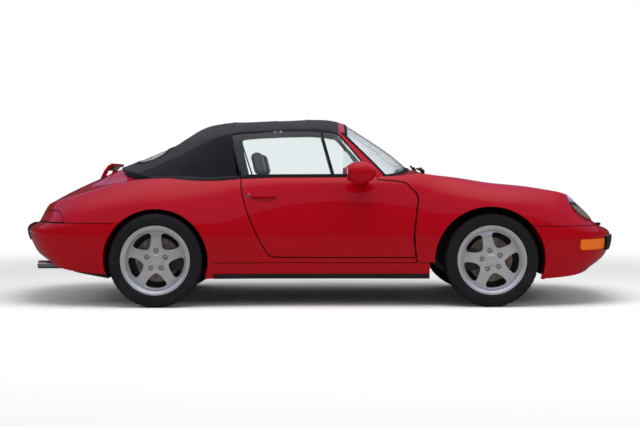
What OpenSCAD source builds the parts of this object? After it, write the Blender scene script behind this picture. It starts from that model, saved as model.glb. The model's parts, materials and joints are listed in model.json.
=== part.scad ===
// Two-door convertible sports car with its engine behind the rear axle, soft top raised.
// X runs forward, Y to the left and Z up; the origin lies on the ground at the middle of the car.

/* [Body] */
// Distance between the axles
wheelbase = 2272; // [1900:1:2730]
// Nose tip ahead of the front axle
front_overhang = 953; // [800:1:1140]
// Tail tip behind the rear axle
rear_overhang = 1020; // [850:1:1220]
// Widest point over the rear arches
body_w = 1735; // [1450:1:2080]
// Height of the raised roof above the ground
roof_h = 1305; // [1090:1:1560]
// Shut line between neighbouring panels
panel_gap = 5.5; // [5:0.5:8]
// Outer panel thickness
skin_t = 12; // [10:1:15]

/* [Wheels] */
// Front track at the tyre centres
track_front = 1405; // [1380:1:1430]
// Rear track at the tyre centres
track_rear = 1444; // [1420:1:1470]
// Tyre outer diameter
tyre_d = 636; // [600:1:650]
// Front tyre section width
tyre_w_front = 205; // [195:1:225]
// Rear tyre section width
tyre_w_rear = 255; // [235:1:265]
// Rim diameter over its flanges
rim_d = 471; // [440:1:480]
// Brake disc diameter
disc_d = 304; // [280:1:320]

/* [Cabin] */
// Width of a front seat
seat_w = 500; // [440:1:540]
// Steering wheel diameter
steering_wheel_d = 385; // [350:1:400]
// Glass thickness
glass_t = 5; // [4:0.5:8]
// Soft top fabric and lining together
fabric_t = 12; // [8:1:16]

/* [Hidden] */
seat_gap = 0.3;

function smooth(a, b, k) = let (q = min(1, max(0, (k - a) / (b - a)))) q * q * (3 - 2 * q);

// Catmull-Rom spline through evenly spaced rows of numbers, at parameter s, with given rows beyond each end
function spline(rows, s) =
    let (i = min(len(rows) - 4, max(0, floor(s))), q = s - i, a = rows[i], b = rows[i + 1], c = rows[i + 2], d = rows[i + 3])
    0.5 * ((2 * b) + (c - a) * q + (2 * a - 5 * b + 4 * c - d) * q * q + (3 * b - a - 3 * c + d) * q * q * q);

// Cubic curve through a table whose first column is the place x, at x, for column c
function slope(t, i, c) = i <= 0 || i >= len(t) - 1 ? 0 : (t[i + 1][c] - t[i - 1][c]) / (t[i + 1][0] - t[i - 1][0]);
function curve(t, x, c) =
    let (i = max([0, for (k = [0:len(t) - 2]) if (t[k][0] <= x) k]), h = t[i + 1][0] - t[i][0], q = min(1, max(0, (x - t[i][0]) / h)))
    (2 * q * q * q - 3 * q * q + 1) * t[i][c] + (q * q * q - 2 * q * q + q) * h * slope(t, i, c)
    + (3 * q * q - 2 * q * q * q) * t[i + 1][c] + (q * q * q - q * q) * h * slope(t, i + 1, c);

// ---- Proportions: places are drawn for the first sizes and stretched between and beyond the axles ----
length = wheelbase + front_overhang + rear_overhang;
axle_front = length / 2 - front_overhang;
axle_rear = axle_front - wheelbase;
function sx(x) = x > 1169.5 ? axle_front + (x - 1169.5) * front_overhang / 953
               : x < -1102.5 ? axle_rear + (x + 1102.5) * rear_overhang / 1020
               : axle_rear + (x + 1102.5) * wheelbase / 2272;
ky = body_w / 1735;
function sz(z) = z <= 870 ? z : 870 + (z - 870) * (roof_h - 870) / 435;

// Flank stations from the nose to the tail: x, y of the widest line; inset and z of the lower edge;
// inset and z of the lower flank; z of the widest line; inset and z of the shoulder; inset of the crest
FLANK = [
    [2122.5,    0, 165, 265, 45, 330, 440, 28, 512, 190],
    [  2085,  320, 155, 258, 42, 325, 445, 28, 512, 185],
    [  1970,  580, 115, 235, 36, 315, 450, 26, 522, 190],
    [  1760,  745,  68, 205, 26, 300, 458, 36, 580, 175],
    [  1480,  815,  55, 188, 22, 295, 475, 52, 690, 210],
    [1169.5,  838,  50, 188, 18, 295, 500, 46, 725, 232],
    [   860,  822,  45, 190, 16, 295, 520, 62, 770, 200],
    [   620,  808,  40, 191, 15, 295, 520, 52, 792, 130],
    [   100,  802,  40, 191, 14, 295, 520, 44, 792, 100],
    [  -400,  812,  42, 191, 15, 295, 520, 56, 790, 120],
    [  -750,  846,  50, 192, 20, 298, 520, 78, 765, 190],
    [-1102.5, 867.5, 55, 200, 20, 300, 520, 64, 738, 215],
    [ -1450,  852,  60, 222, 22, 310, 505, 60, 692, 225],
    [ -1750,  790,  75, 248, 30, 330, 500, 56, 628, 205],
    [ -1950,  640, 105, 290, 45, 355, 505, 66, 575, 160],
    [ -2070,  360, 120, 318, 50, 368, 508, 70, 565, 140],
    [-2122.5,   0, 125, 322, 52, 370, 510, 70, 563, 140]];
function mirrored(r) = [for (k = [0:len(r) - 1]) k == 1 ? -r[k] : r[k]];
FLANK_ROWS = concat([mirrored(FLANK[1])], FLANK, [mirrored(FLANK[len(FLANK) - 2])]);

// Upper surface: x, z on the centreline, z and y of the wing crest
DECK = [[-2122.5, 560, 560, 500], [-2050, 618, 612, 510], [-1985, 665, 652, 530], [-1930, 702, 680, 550],
        [-1830, 760, 712, 580], [-1700, 823, 750, 610], [-1580, 876, 785, 630], [-1440, 938, 822, 650],
        [-1300, 948, 850, 660], [-1150, 950, 868, 670], [-900, 950, 872, 680], [-300, 955, 876, 695],
        [300, 955, 880, 690], [560, 950, 890, 640], [680, 932, 905, 615], [800, 897, 893, 615],
        [950, 855, 876, 610], [1170, 803, 842, 600], [1400, 748, 819, 590], [1560, 703, 795, 580],
        [1680, 664, 772, 570], [1735, 645, 750, 566], [1790, 624, 714, 562], [1840, 604, 655, 555],
        [1880, 585, 612, 545], [1932, 558, 560, 530], [2030, 512, 510, 520], [2122.5, 465, 465, 520]];
bonnet_crown = 14;
function deck_z(x, y) =
    let (k = abs(y) / curve(DECK, x, 3), rise = smooth(0.35, 1, k), c = curve(DECK, x, 1))
    c + (curve(DECK, x, 2) - c) * rise - bonnet_crown * min(k, 0.7) * min(k, 0.7) / 0.49 * (1 - rise);

// The meridian of control points at station s: lower edge to crest, then one point inside the crest
function flank_points(s) =
    let (r = spline(FLANK_ROWS, s), e = 0.01, a = spline(FLANK_ROWS, max(0, s - e)), b = spline(FLANK_ROWS, min(len(FLANK) - 1, s + e)),
         t = [b[0] - a[0], s < e || s > len(FLANK) - 1 - e ? (b[1] - a[1]) * 2 : b[1] - a[1]],
         n = [t[1], -t[0]] / -norm(t), end = s <= 0 ? [-1, 0] : s >= len(FLANK) - 1 ? [1, 0] : n,
         at = function (inset, z) [r[0] + end[0] * inset, r[1] + end[1] * inset, z],
         top = function (inset) let (p = at(inset, 0)) [p[0], p[1], deck_z(p[0], p[1])])
    [at(r[2], r[3]), at(r[4], r[5]), at(0, r[6]), at(r[7], r[8]), top(r[9]), top(r[9] + 90)];

// The spine that the deck rows close on, for a station
function spine_x(x) = min(1500, max(-1550, x));
// One meridian of the skin, from the lower edge to the spine, as drawn (unstretched)
function skin_column(s, n) =
    let (p = flank_points(s), rows = concat([2 * p[0] - p[1]], p),
         crest = p[4], spine = [spine_x(crest[0]), 0])
    concat([for (v = [0:4 * n - 1]) spline(rows, v / n)],
           [for (v = [0:n + 2]) let (q = v / (n + 2), x = crest[0] + (spine[0] - crest[0]) * q, y = crest[1] * (1 - q)) [x, y, deck_z(x, y)]]);

function unit(v) = v / max(1e-9, norm(v));
// Moves a column inwards by t, square to the column and to its plan direction
function inset_column(col, n, t) =
    [for (i = [0:len(col) - 1])
        let (a = col[max(0, i - 1)], b = col[min(len(col) - 1, i + 1)], d = b - a,
             run = d[0] * n[0] + d[1] * n[1], up = i == len(col) - 1 ? [1, 0] : unit([run, d[2]]), low = i == 0 ? 0 : 1)
        [col[i][0] + n[0] * t * up[1], col[i][1] + n[1] * t * up[1], col[i][2] - t * up[0] * low]];
function plan_normal(s) = let (p = flank_points(s), d = p[4] - p[2]) unit([d[0], d[1]]);

function half_columns(t, n) = [for (k = [0:(len(FLANK) - 1) * n]) inset_column(skin_column(k / n, n), plan_normal(k / n), t)];

// A closed solid from half rings of columns: the last point of each column lies on the middle plane
module columns_solid(half, skirt) {
    n = len(half);
    m = len(half[0]) + 1;
    tall = [for (col = half) concat([[col[0][0], col[0][1], col[0][2] - skirt]], col)];
    ring = concat([for (i = [0:n - 1]) [for (p = tall[i]) [p[0], -p[1], p[2]]]], [for (i = [n - 2:-1:1]) tall[i]]);
    c = len(ring);
    points = concat([for (col = ring) each [for (j = [0:m - 2]) col[j]]],
                    [for (i = [0:n - 1]) [tall[i][m - 1][0], 0, tall[i][m - 1][2]]]);
    function at(i, j) = let (k = (i + c) % c) j < m - 1 ? k * (m - 1) + j : c * (m - 1) + (k < n ? k : c - k);
    faces = [for (i = [0:c - 1], j = [0:m - 2])
        let (q = [at(i, j), at(i + 1, j), at(i + 1, j + 1), at(i, j + 1)])
        each i < n - 1 ? [[q[0], q[2], q[3]], [q[0], q[1], q[2]]] : [[q[1], q[2], q[3]], [q[0], q[1], q[3]]]];
    polyhedron(points, concat([for (f = faces) if (f[0] != f[1] && f[1] != f[2] && f[0] != f[2]) f],
                              [[for (i = [c - 1:-1:0]) at(i, 0)]]));
}
// Everything inside the body skin, set in by t, drawn with n steps between its control points
module skin_solid(t, skirt = 1, n = 3)
    columns_solid([for (col = half_columns(t, n)) [for (p = col) [sx(p[0]), p[1] * ky, p[2]]]], skirt);

// ---- Greenhouse: windscreen, roof and side glass lie on one surface ----
// Columns from the foot of the windscreen round to the back: foot, middle and rail points
CANOPY = [
    [[ 705,   0, 893], [ 505,   0, 1060], [ 182,   0, 1272]],
    [[ 655, 360, 893], [ 480, 318, 1052], [ 178, 262, 1257]],
    [[ 545, 570, 884], [ 395, 508, 1028], [ 168, 430, 1215]],
    [[ 430, 645, 873], [ 312, 602, 1010], [ 145, 522, 1180]],
    [[ 280, 672, 870], [ 205, 622, 1020], [  80, 534, 1192]],
    [[   0, 688, 868], [ -20, 628, 1035], [ -40, 540, 1203]],
    [[-350, 692, 866], [-360, 630, 1032], [-375, 538, 1196]],
    [[-560, 690, 862], [-575, 624, 1020], [-590, 526, 1180]],
    [[-800, 680, 858], [-770, 600, 1005], [-735, 490, 1160]],
    [[-1020, 660, 856], [-950, 548, 995], [-860, 420, 1135]],
    [[-1200, 610, 885], [-1090, 468, 1000], [-950, 330, 1118]],
    [[-1350, 450, 925], [-1210, 330, 1012], [-1010, 210, 1122]],
    [[-1425, 230, 948], [-1260, 165, 1018], [-1035, 105, 1122]],
    [[-1450,   0, 950], [-1280,   0, 1015], [-1050,   0, 1120]]];
CANOPY_ROWS = concat([[for (p = CANOPY[1]) [p[0], -p[1], p[2]]]], CANOPY, [[for (p = CANOPY[len(CANOPY) - 2]) [p[0], -p[1], p[2]]]]);
// Height of the roof along the middle
RIDGE = [[-1060, 1112], [-1024, 1133], [-964, 1172], [-905, 1212], [-845, 1243], [-785, 1264], [-666, 1282],
         [-487, 1290], [-248, 1298], [-60, 1305], [51, 1303], [120, 1292], [190, 1268]];
function canopy_column(s, n) =
    let (r = spline(CANOPY_ROWS, s), f = r[0], g = r[1], h = r[2],
         xs = min(110, max(-860, h[0])), zs = curve(RIDGE, xs, 1),
         rows = [2 * f - g, f, g, h, [h[0] + (xs - h[0]) * 0.3, h[1] * 0.72, h[2] + (zs - h[2]) * 0.52]])
    concat([for (v = [0:2 * n - 1]) spline(rows, v / n)],
           [for (v = [0:n + 2]) let (q = v / (n + 2), k = 1 - q, x = h[0] + (xs - h[0]) * (1 - k * k), y = h[1] * k)
                [x, y, zs - (zs - h[2]) * pow(k, 2.1)]]);
function canopy_normal(s) = let (r = spline(CANOPY_ROWS, s), d = r[2] - r[0]) unit([d[0], d[1]]);
module canopy_solid(t, skirt = 40, n = 3)
    columns_solid([for (k = [0:(len(CANOPY) - 1) * n]) let (s = k / n)
        [for (p = inset_column(canopy_column(s, n), canopy_normal(s), t)) [sx(p[0]), p[1] * ky, sz(p[2])]]], skirt);

// ---- Shared helpers ----
module meshed() resize([0, 0, 0]) children();
module prism_xz(points, y0, y1) translate([0, y1, 0]) rotate([90, 0, 0]) linear_extrude(y1 - y0) polygon(points);
module prism_yz(points, x0, x1) translate([x0, 0, 0]) rotate([90, 0, 90]) linear_extrude(x1 - x0) polygon(points);
module prism_xy(points, z0, z1) translate([0, 0, z0]) linear_extrude(z1 - z0) polygon(points);
module block(x0, x1, y0, y1, z0, z1) translate([x0, y0, z0]) cube([x1 - x0, y1 - y0, z1 - z0]);
module cyl_y(x, z, r, y0, y1, fn = 64) translate([x, y0, z]) rotate([-90, 0, 0]) cylinder(r = r, h = y1 - y0, $fn = fn);
module both() { children(); mirror([0, 1, 0]) children(); }
module right() mirror([0, 1, 0]) children();
module rod(p, q, r, fn = 32) {
    d = q - p;
    translate(p) rotate([0, acos(d[2] / norm(d)), atan2(d[1], d[0])]) cylinder(r = r, h = norm(d), $fn = fn);
}
function sxz(points) = [for (p = points) [sx(p[0]), sz(p[1])]];

// ---- Wheels ----
wheel_z = tyre_d / 2;
y_front = track_front / 2;
y_rear = track_rear / 2;
// Kingpin: leans inwards, passes through the hub height inside the rim
king_low = [axle_front, y_front - 72, 195];
king_top = [axle_front, y_front - 205, 800];
king_dir = unit(king_top - king_low);
king_hub = king_low + king_dir * (wheel_z - king_low[2]) / king_dir[2];

// Profile given as radius and distance outwards from the wheel's middle plane
module turned(points, fn = 96) rotate([-90, 0, 0]) rotate_extrude($fn = fn) polygon(points);
module tyre(w) {
    h = w / 2;
    f = h - 18.3;
    turned([[216, -f], [236, -f], [246, -h + 4], [276, -h], [300, -h + 6], [tyre_d / 2 - 5, -h + 18], [tyre_d / 2, -h + 32],
            [tyre_d / 2, h - 32], [tyre_d / 2 - 5, h - 18], [300, h - 6], [276, h], [246, h - 4], [236, f], [216, f]]);
}
module rim(w, dish) {
    h = w / 2 - 10;
    face = h - dish;
    union() {
        turned([[204, -h + 1], [208, -h], [rim_d / 2, -h], [rim_d / 2, -h + 8], [215.7, -h + 8], [215.7, h - 8],
                [rim_d / 2, h - 8], [rim_d / 2, h], [226, h], [212, h - 8], [206, h - 22], [204, face - 34]]);
        turned([[0, 15], [74, 15], [80, 32], [78, face - 10], [60, face - 3], [0, face - 3]], 64);
        for (k = [0:4]) rotate([0, k * 72, 0])
            translate([0, face - 36, 0]) rotate([-90, 0, 0]) linear_extrude(32)
                polygon([[-36, 40], [-30, 90], [-33, 150], [-48, 209], [48, 209], [33, 150], [30, 90], [36, 40]]);
    }
}
module disc() turned([[0, -36], [disc_d / 2, -36], [disc_d / 2, -8], [88, -8], [84, 14.7], [0, 14.7]], 64);
// Calliper round the disc's edge, turned to angle a from the front
module calliper(a) rotate([0, -a, 0]) difference() {
    intersection() {
        cyl_y(0, 0, 182, -62, 22);
        block(92, 200, -62, 22, -72, 72);
    }
    cyl_y(0, 0, disc_d / 2 + 6, -41.2, -2.8);
}
// Hub carrier at the wheel's middle plane, shared by all four corners
module carrier(a) union() {
    calliper(a);
    cyl_y(0, 0, 48, -70, -36.3);
    rotate([0, -a, 0]) block(30, 110, -62, -45, -30, 30);
}

// ---- Outlines, as drawn: side views are [x, z], top views [x, y] ----
hinge_r = 93;
hinge = [sx(585), 735 * ky];
DOOR = [[-534, 892], [-528, 792], [-500, 681], [-446, 542], [-392, 434], [-355, 373], [-335, 350], [-300, 340], [0, 338],
        [700, 338], [700, 832], [585, 838], [520, 853], [430, 857], [402, 861], [396, 868], [396, 892]];
GLASS = [[-516, 840], [-606, 1150], [-604, 1172], [-560, 1183], [-300, 1199], [-60, 1203], [70, 1190], [118, 1178],
         [140, 1160], [309, 962], [356, 882], [350, 840]];
LID = [[1905, 0], [1898, 200], [1860, 380], [1820, 440], [1700, 462], [1400, 500], [1100, 540], [900, 562], [830, 560],
       [812, 520], [806, 300], [806, 0]];
ENGINE_LID = [[-1478, 0], [-1480, 300], [-1490, 440], [-1530, 500], [-1700, 520], [-1830, 505], [-1880, 440], [-1905, 250], [-1912, 0]];
CABIN = [[640, 0], [630, 320], [560, 520], [400, 600], [300, 614], [-960, 614], [-960, 0]];
function sxy(points) = [for (p = points) [sx(p[0]), p[1] * ky]];
module outline_y(points, grow) translate([0, 1200, 0]) rotate([90, 0, 0]) linear_extrude(1150) offset(delta = grow) polygon(sxz(points));
module outline_z(points, grow, z0 = 300) translate([0, 0, z0]) linear_extrude(1100) offset(delta = grow)
    polygon(concat(sxy(points), [for (i = [len(points) - 1:-1:0]) [sx(points[i][0]), -points[i][1] * ky]]));
module shell(t = skin_t) difference() { skin_solid(0); skin_solid(t, 60, 2); }
module front_arch(grow = 0) both() translate([sx(1157), 420, wheel_z]) rotate([-90, 0, 0]) scale([1.035, 1, 1]) cylinder(r = 362 + grow, h = 600, $fn = 60);
module rear_arch(grow = 0) both() translate([sx(-1102), 495, wheel_z]) rotate([-90, 0, 0]) scale([1.02, 1, 1]) cylinder(r = 346 + grow, h = 600, $fn = 60);
// Front edge of the door: turned about the hinge line, so that it clears the wing at every angle
module hinge_core(g) translate([hinge[0], hinge[1], 0]) rotate_extrude($fn = 60)
    polygon([[0, 300], [hinge_r + g, 300], [hinge_r + g, 730 + g / 2], [hinge_r - 22 + g, 775 + g / 2], [40 + g, 800 + g],
             [20 + g, 826 + g], [0, 840 + g]]);
// Two strap hinges a side: each arm runs from the door post, inside the door's edge, to the hinge line
hinge_levels = [430, 640];
hinge_pin_r = 16;
hinge_arm_y = hinge[1] - 87;
module hinge_arms() for (z = hinge_levels) {
    translate([hinge[0], hinge[1], z]) cylinder(r = hinge_pin_r, h = 30, $fn = 40);
    block(hinge[0] - 8, hinge[0] + 8, hinge_arm_y - 8, hinge[1], z, z + 30);
    block(hinge[0] - 8, sx(668), hinge_arm_y - 8, hinge_arm_y + 8, z, z + 30);
}
// Room in the door for the arms while it swings
module hinge_pockets() for (z = hinge_levels) translate([hinge[0], hinge[1], z - panel_gap]) linear_extrude(30 + 2 * panel_gap) {
    circle(r = hinge_pin_r + seat_gap, $fn = 40);
    offset(delta = 8 + panel_gap) polygon([[0, 0], for (a = [-95:15:10]) 120 * [cos(a), sin(a)]]);
}
module door_hole() intersection() {
    union() {
        intersection() { outline_y(DOOR, panel_gap + 1); block(-1000, hinge[0] + panel_gap + 1, 500, 1000, 300, 1000); }
        intersection() { outline_y(DOOR, panel_gap + 1); hinge_core(panel_gap + 1); }
    }
    block(-2000, 2000, 560, 1000, 300, 1000);
}
// Hinge brackets: x0 to x1 stands under the panel's skin, x1 to x2 reaches under the lid
module hinge_brackets(x0, x1, x2, y0, y1) both() {
    intersection() { block(min(x0, x1), max(x0, x1), y0, y1, 840, 1000); skin_solid(6, 0, 2); }
    intersection() { block(min(x0, x2), max(x0, x2), y0, y1, 840, 1000); skin_solid(skin_t + seat_gap, 0, 2); }
}
bumper_z = 544;
split_x = sx(655);

// ---- Body ----
module front_zone() block(split_x, 3000, -1000, 1000, 303, 1000);
module shell_whole() {
    shell_cut();
    both() hinge_arms();
}
module shell_cut() difference() {
    union() {
        difference() {
            shell();
            difference() { front_zone(); outline_z([[split_x - 50, 0], [split_x - 50, 566], [sx(796), 562], [sx(800), 0]], 0); }
            block(sx(748), 3000, -1000, 1000, 0, 400);
            outline_z(CABIN, 0, 700);
            outline_z(ENGINE_LID, panel_gap, 400);
            both() block(sx(-3000), sx(-1395), -1000, 1000, 0, 566);
            tail_lamp_zone(0);
        }
        hinge_brackets(sx(776), sx(792), sx(836), 280, 320);
        hinge_brackets(sx(-1446), sx(-1466), sx(-1506), 220, 260);
        // windscreen frame
        intersection() {
            difference() { canopy_solid(0); canopy_solid(24, 90, 2); }
            union() {
                both() intersection() {
                    outline_y([[385, 850], [318, 962], [143, 1172], [100, 1200], [100, 1330], [186, 1330], [186, 1190], [162, 1190],
                               [390, 962], [478, 868]], 0);
                    block(-3000, 3000, 0, 1000, 850, 1400);
                }
                block(sx(100), sx(186), -480, 480, 1150, 1400);
            }
        }
        intersection() {
            skin_solid(6, 0, 2);
            union() {
                both() block(sx(-760), split_x, 600, 900, 195, 336);
                both() block(sx(-640), sx(-548), 615, 900, 200, 850);
                block(sx(-980), sx(-962), -700, 700, 228, 1000);
            }
        }
        intersection() {
            skin_solid(skin_t + 3, 0, 2);
            union() {
                both() block(sx(600), sx(742), 600, 900, 200, 302);
                both() block(sx(664), sx(742), 600, 900, 200, 850);
                block(sx(724), sx(742), -700, 700, 228, 1000);
                both() difference() {
                    rear_arch(14);
                    rear_arch(4);
                    block(-3000, 3000, 0, 2000, 0, 240);
                }
                both() block(sx(-1500), sx(-700), 480, 495, 240, 700);
            }
        }
    }
    both() door_hole();
    tail_lamp_zone(seat_gap);
    both() block(sx(-1138), sx(-1068), 400, 520, 200, 345);
    both() block(sx(-1160), sx(-1040), 400, 620, 500, 760);
    both() block(sx(640), split_x, 700, 1000, 342, 640);
    front_arch();
    rear_arch();
    both() block(sx(-320), sx(650), 500, 1000, 336, 420);
}

// The quarter panels and tail are one welded piece, joined to the cabin shell behind the door posts
quarter_x = sx(-680);
module body_shell() color([0.72, 0.05, 0.08]) meshed() intersection() {
    shell_whole();
    block(quarter_x, 3000, -1000, 1000, 0, 1400);
}
module rear_quarters() color([0.72, 0.05, 0.08]) meshed() intersection() {
    shell_whole();
    block(-3000, quarter_x, -1000, 1000, 0, 1400);
}
module floor_pan() color([0.12, 0.12, 0.12]) {
    block(sx(-700), sx(723.7), -599.7, 599.7, 205, 222);
    block(sx(-961.7), sx(-700), -470, 470, 205, 222);
    both() block(sx(-560), sx(-480), 500, 580, 178, 205);
    both() block(sx(560), sx(640), 500, 580, 178, 205);
    block(sx(-961.7), sx(723.7), -88, 88, 222, 300);
    block(sx(742.3), sx(754), -410, 410, 228, 700);
    block(sx(1780), sx(1792), -410, 410, 290, 540);
    both() block(sx(754), sx(1792), 398, 410, 290, 560);
    block(sx(754), sx(1792), -410, 410, 290, 302);
}
module lamp_cut(r) both() translate([sx(1806), 562, 672]) rotate([0, 43, 0]) scale([1.28, 1, 1]) translate([0, 0, -60]) cylinder(r = r, h = 300, $fn = 56);
module front_fender() color([0.72, 0.05, 0.08]) meshed() difference() {
    intersection() { shell(); block(split_x + 0.1, 3000, 0, 1000, 303, 1000); }
    outline_z(LID, panel_gap);
    outline_z([[500, 0], [500, 568], [798, 568], [806, 545], [830, 0]], 0);
    block(sx(1300), 3000, 0, 2000, 0, bumper_z + seat_gap);
    block(sx(1850), 3000, -10, 480, 0, 1000);
    front_arch();
    hinge_core(panel_gap + 1);
    lamp_cut(101);
}
module indicator_zone(g) both() difference() {
    block(sx(1800) - g, 3000, 360 - g, 900, 386 - g, 455 + g);
    block(sx(2060), 3000, -300, 300, 300, 500);
}
module front_bumper() color([0.72, 0.05, 0.08]) meshed() difference() {
    intersection() {
        shell(14);
        union() {
            block(sx(1300), 3000, -1000, 1000, 0, bumper_z);
            block(sx(1850) + seat_gap, 3000, -480 + seat_gap, 480 - seat_gap, 0, 1000);
        }
    }
    outline_z(LID, panel_gap);
    front_arch();
    lamp_cut(101);
    indicator_zone(0.3);
    block(sx(1900), 3000, -300, 300, 300, 372);
}
module front_indicators() color([0.95, 0.5, 0.1]) meshed() intersection() {
    shell(13);
    indicator_zone(0);
}
module headlamps() color([0.85, 0.88, 0.9]) meshed() difference() {
    intersection() { difference() { skin_solid(-1.5); skin_solid(36, 60, 2); } lamp_cut(99.5); }
    block(0, 3000, -400, 400, 0, 1000);
}
module tail_lamp_zone(g) block(sx(-3000), sx(-1756) + g, -1000, 1000, 571 - g, 651 + g);
module tail_lamps() color([0.6, 0.03, 0.05]) meshed() intersection() {
    difference() { skin_solid(0.5); skin_solid(26, 60, 2); }
    tail_lamp_zone(-0.3);
}
module rear_bumper() color([0.72, 0.05, 0.08]) meshed() difference() {
    intersection() {
        shell(14);
        block(sx(-3000), sx(-1395) - 0.4, -1000, 1000, 0, 565.6);
    }
    both() block(sx(-3000), sx(-1700), 500, 620, 0, 308);
    rear_arch();
}
module front_lid() color([0.72, 0.05, 0.08]) meshed() intersection() {
    shell();
    outline_z(LID, 0);
}
module engine_lid() color([0.72, 0.05, 0.08]) meshed() intersection() {
    shell();
    outline_z(ENGINE_LID, 0);
}
module brake_light_arch() color([0.72, 0.05, 0.08]) meshed() difference() {
    union() {
        both() prism_xz([[sx(-1604), 830], [sx(-1554), 830], [sx(-1496), 962], [sx(-1514), 984]], 150, 190);
        prism_xz([[sx(-1536), 956], [sx(-1502), 948], [sx(-1490), 966], [sx(-1498), 984], [sx(-1516), 984]], -170, 170);
    }
    skin_solid(-0.3);
}
DOOR_IN = [[700, 300], [706, 520], [666, 790], [620, 870], [614, 1000], [1000, 1000], [1000, 300]];
module door() color([0.72, 0.05, 0.08]) meshed() difference() {
    union() {
        intersection() {
            difference() { skin_solid(0); skin_solid(15, 60, 2); }
            union() {
                intersection() { outline_y(DOOR, 0); block(-3000, 3000, 690 * ky, 1000, 0, 2000); }
                outline_y(DOOR, -16);
            }
            block(-3000, 3000, 600, 1000, 0, 2000);
        }
        intersection() { skin_solid(8, 1, 2); outline_y(DOOR, -16); prism_yz(DOOR_IN, -3000, 3000); }
        intersection() { skin_solid(8, 1, 2); outline_y(DOOR, 0); prism_yz(DOOR_IN, 0, 3000); block(0, 3000, 0, 1000, 0, 700); }
    }
    difference() { block(hinge[0], 3000, 0, 2000, 0, 2000); hinge_core(0); }
    prism_yz([[500, 800], [614, 800], [614, 1100], [500, 1100]], -3000, 3000);
    hinge_pockets();
}
module door_glass() color([0.6, 0.75, 0.75, 0.5]) meshed() difference() {
    intersection() {
        difference() { canopy_solid(0); canopy_solid(glass_t, 90); }
        outline_y(GLASS, 0);
        block(-3000, 3000, 300, 1000, 840, 2000);
    }
    skin_solid(-0.3);
}
module mirror_shell() color([0.72, 0.05, 0.08]) meshed() difference() {
    union() {
        difference() {
            translate([sx(290), 862, 908]) scale([1.05, 0.84, 0.8]) sphere(r = 94, $fn = 22);
            block(sx(290) - 200, sx(196), 700, 1000, 700, 1100);
        }
        block(sx(262), sx(330), 693, 800, 850, 896);
    }
    skin_solid(-0.3);
}
module windscreen() color([0.6, 0.75, 0.75, 0.5]) meshed() difference() {
    intersection() {
        difference() { canopy_solid(1); canopy_solid(1 + glass_t, 90); }
        block(sx(186) + 0.3, 3000, -1000, 1000, 850, 2000);
    }
    both() outline_y([[100, 700], [478, 700], [478, 868], [390, 962], [162, 1190], [162, 1330], [100, 1330]], 0.3);
    skin_solid(-0.3);
}
REAR_WINDOW = [[-1085, 0], [-1085, 300], [-1105, 352], [-1170, 400], [-1262, 380], [-1300, 330], [-1325, 180], [-1330, 0]];
module soft_top() color([0.06, 0.06, 0.07]) meshed() difference() {
    intersection() {
        difference() { canopy_solid(-1); canopy_solid(fabric_t, 90, 2); }
        block(-3000, sx(99.7), -1000, 1000, 800, 2000);
    }
    both() outline_y(concat(GLASS, [[366, 700], [-516, 700]]), 10);
    both() outline_y([[90, 700], [90, 1150], [400, 1150], [400, 700]], 0);
    both() outline_y(DOOR, panel_gap + 1);
    outline_z(REAR_WINDOW, 0, 900);
    skin_solid(-0.4);
}
module rear_window() color([0.6, 0.75, 0.75, 0.5]) meshed() intersection() {
    difference() { canopy_solid(2); canopy_solid(2 + glass_t, 90); }
    outline_z(REAR_WINDOW, -0.3, 900);
}

// ---- Cabin ----
module seat_left() color([0.2, 0.2, 0.21]) translate([0, 345, 0]) {
    prism_xz([[sx(-250), 300], [sx(260), 300], [sx(270), 400], [sx(230), 432], [sx(-180), 410], [sx(-250), 410]], -seat_w / 2, seat_w / 2);
    prism_xz([[sx(-300), 395], [sx(-205), 411], [sx(-370), 900], [sx(-470), 900]], -seat_w / 2 + 20, seat_w / 2 - 20);
    prism_xz([[sx(-470), 899], [sx(-370), 899], [sx(-400), 1060], [sx(-480), 1060]], -130, 130);
    both() block(sx(-200), sx(200), 150, 190, 222.3, 301);
}
module rear_seats() color([0.2, 0.2, 0.21]) {
    both() block(sx(-860), sx(-560), 95, 470, 222.3, 440);
    both() prism_xz([[sx(-860), 440], [sx(-800), 440], [sx(-900), 800], [sx(-955), 800]], 95, 470);
    block(sx(-957), sx(-900), -470, 470, 780, 800);
}
module dashboard() color([0.1, 0.1, 0.1]) {
    prism_xz([[sx(700), 560], [sx(710), 600], [sx(700), 880], [sx(560), 868], [sx(430), 820], [sx(420), 700], [sx(520), 560]], -560, 560);
    rod([sx(470), 360, 650], [sx(290) + 5.95, 360, 710.93], 26);
    block(sx(700), sx(723.6), -500, 500, 600, 700);
}
module steering_wheel() color([0.07, 0.07, 0.07]) translate([sx(290), 360, 713]) rotate([0, -70.8, 0]) {
    rotate_extrude($fn = 96) translate([steering_wheel_d / 2 - 15, 0]) circle(r = 15, $fn = 24);
    translate([0, 0, -6]) cylinder(r = 62, h = 40, $fn = 48);
    for (a = [0, 120, 240]) rotate([0, 0, a + 60]) translate([40, -16, -4]) cube([steering_wheel_d / 2 - 48, 32, 12]);
}
module wipers() color([0.03, 0.03, 0.03]) meshed() difference() {
    for (y = [-120, 420]) {
        z = deck_z(760, y) - 8;
        rod([sx(760), y, z + 24], [sx(690), y - 430, deck_z(690, y - 430) + 40], 7, 16);
        rod([sx(760), y, z], [sx(760), y, z + 30], 14, 24);
    }
    skin_solid(-seat_gap);
}

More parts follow.
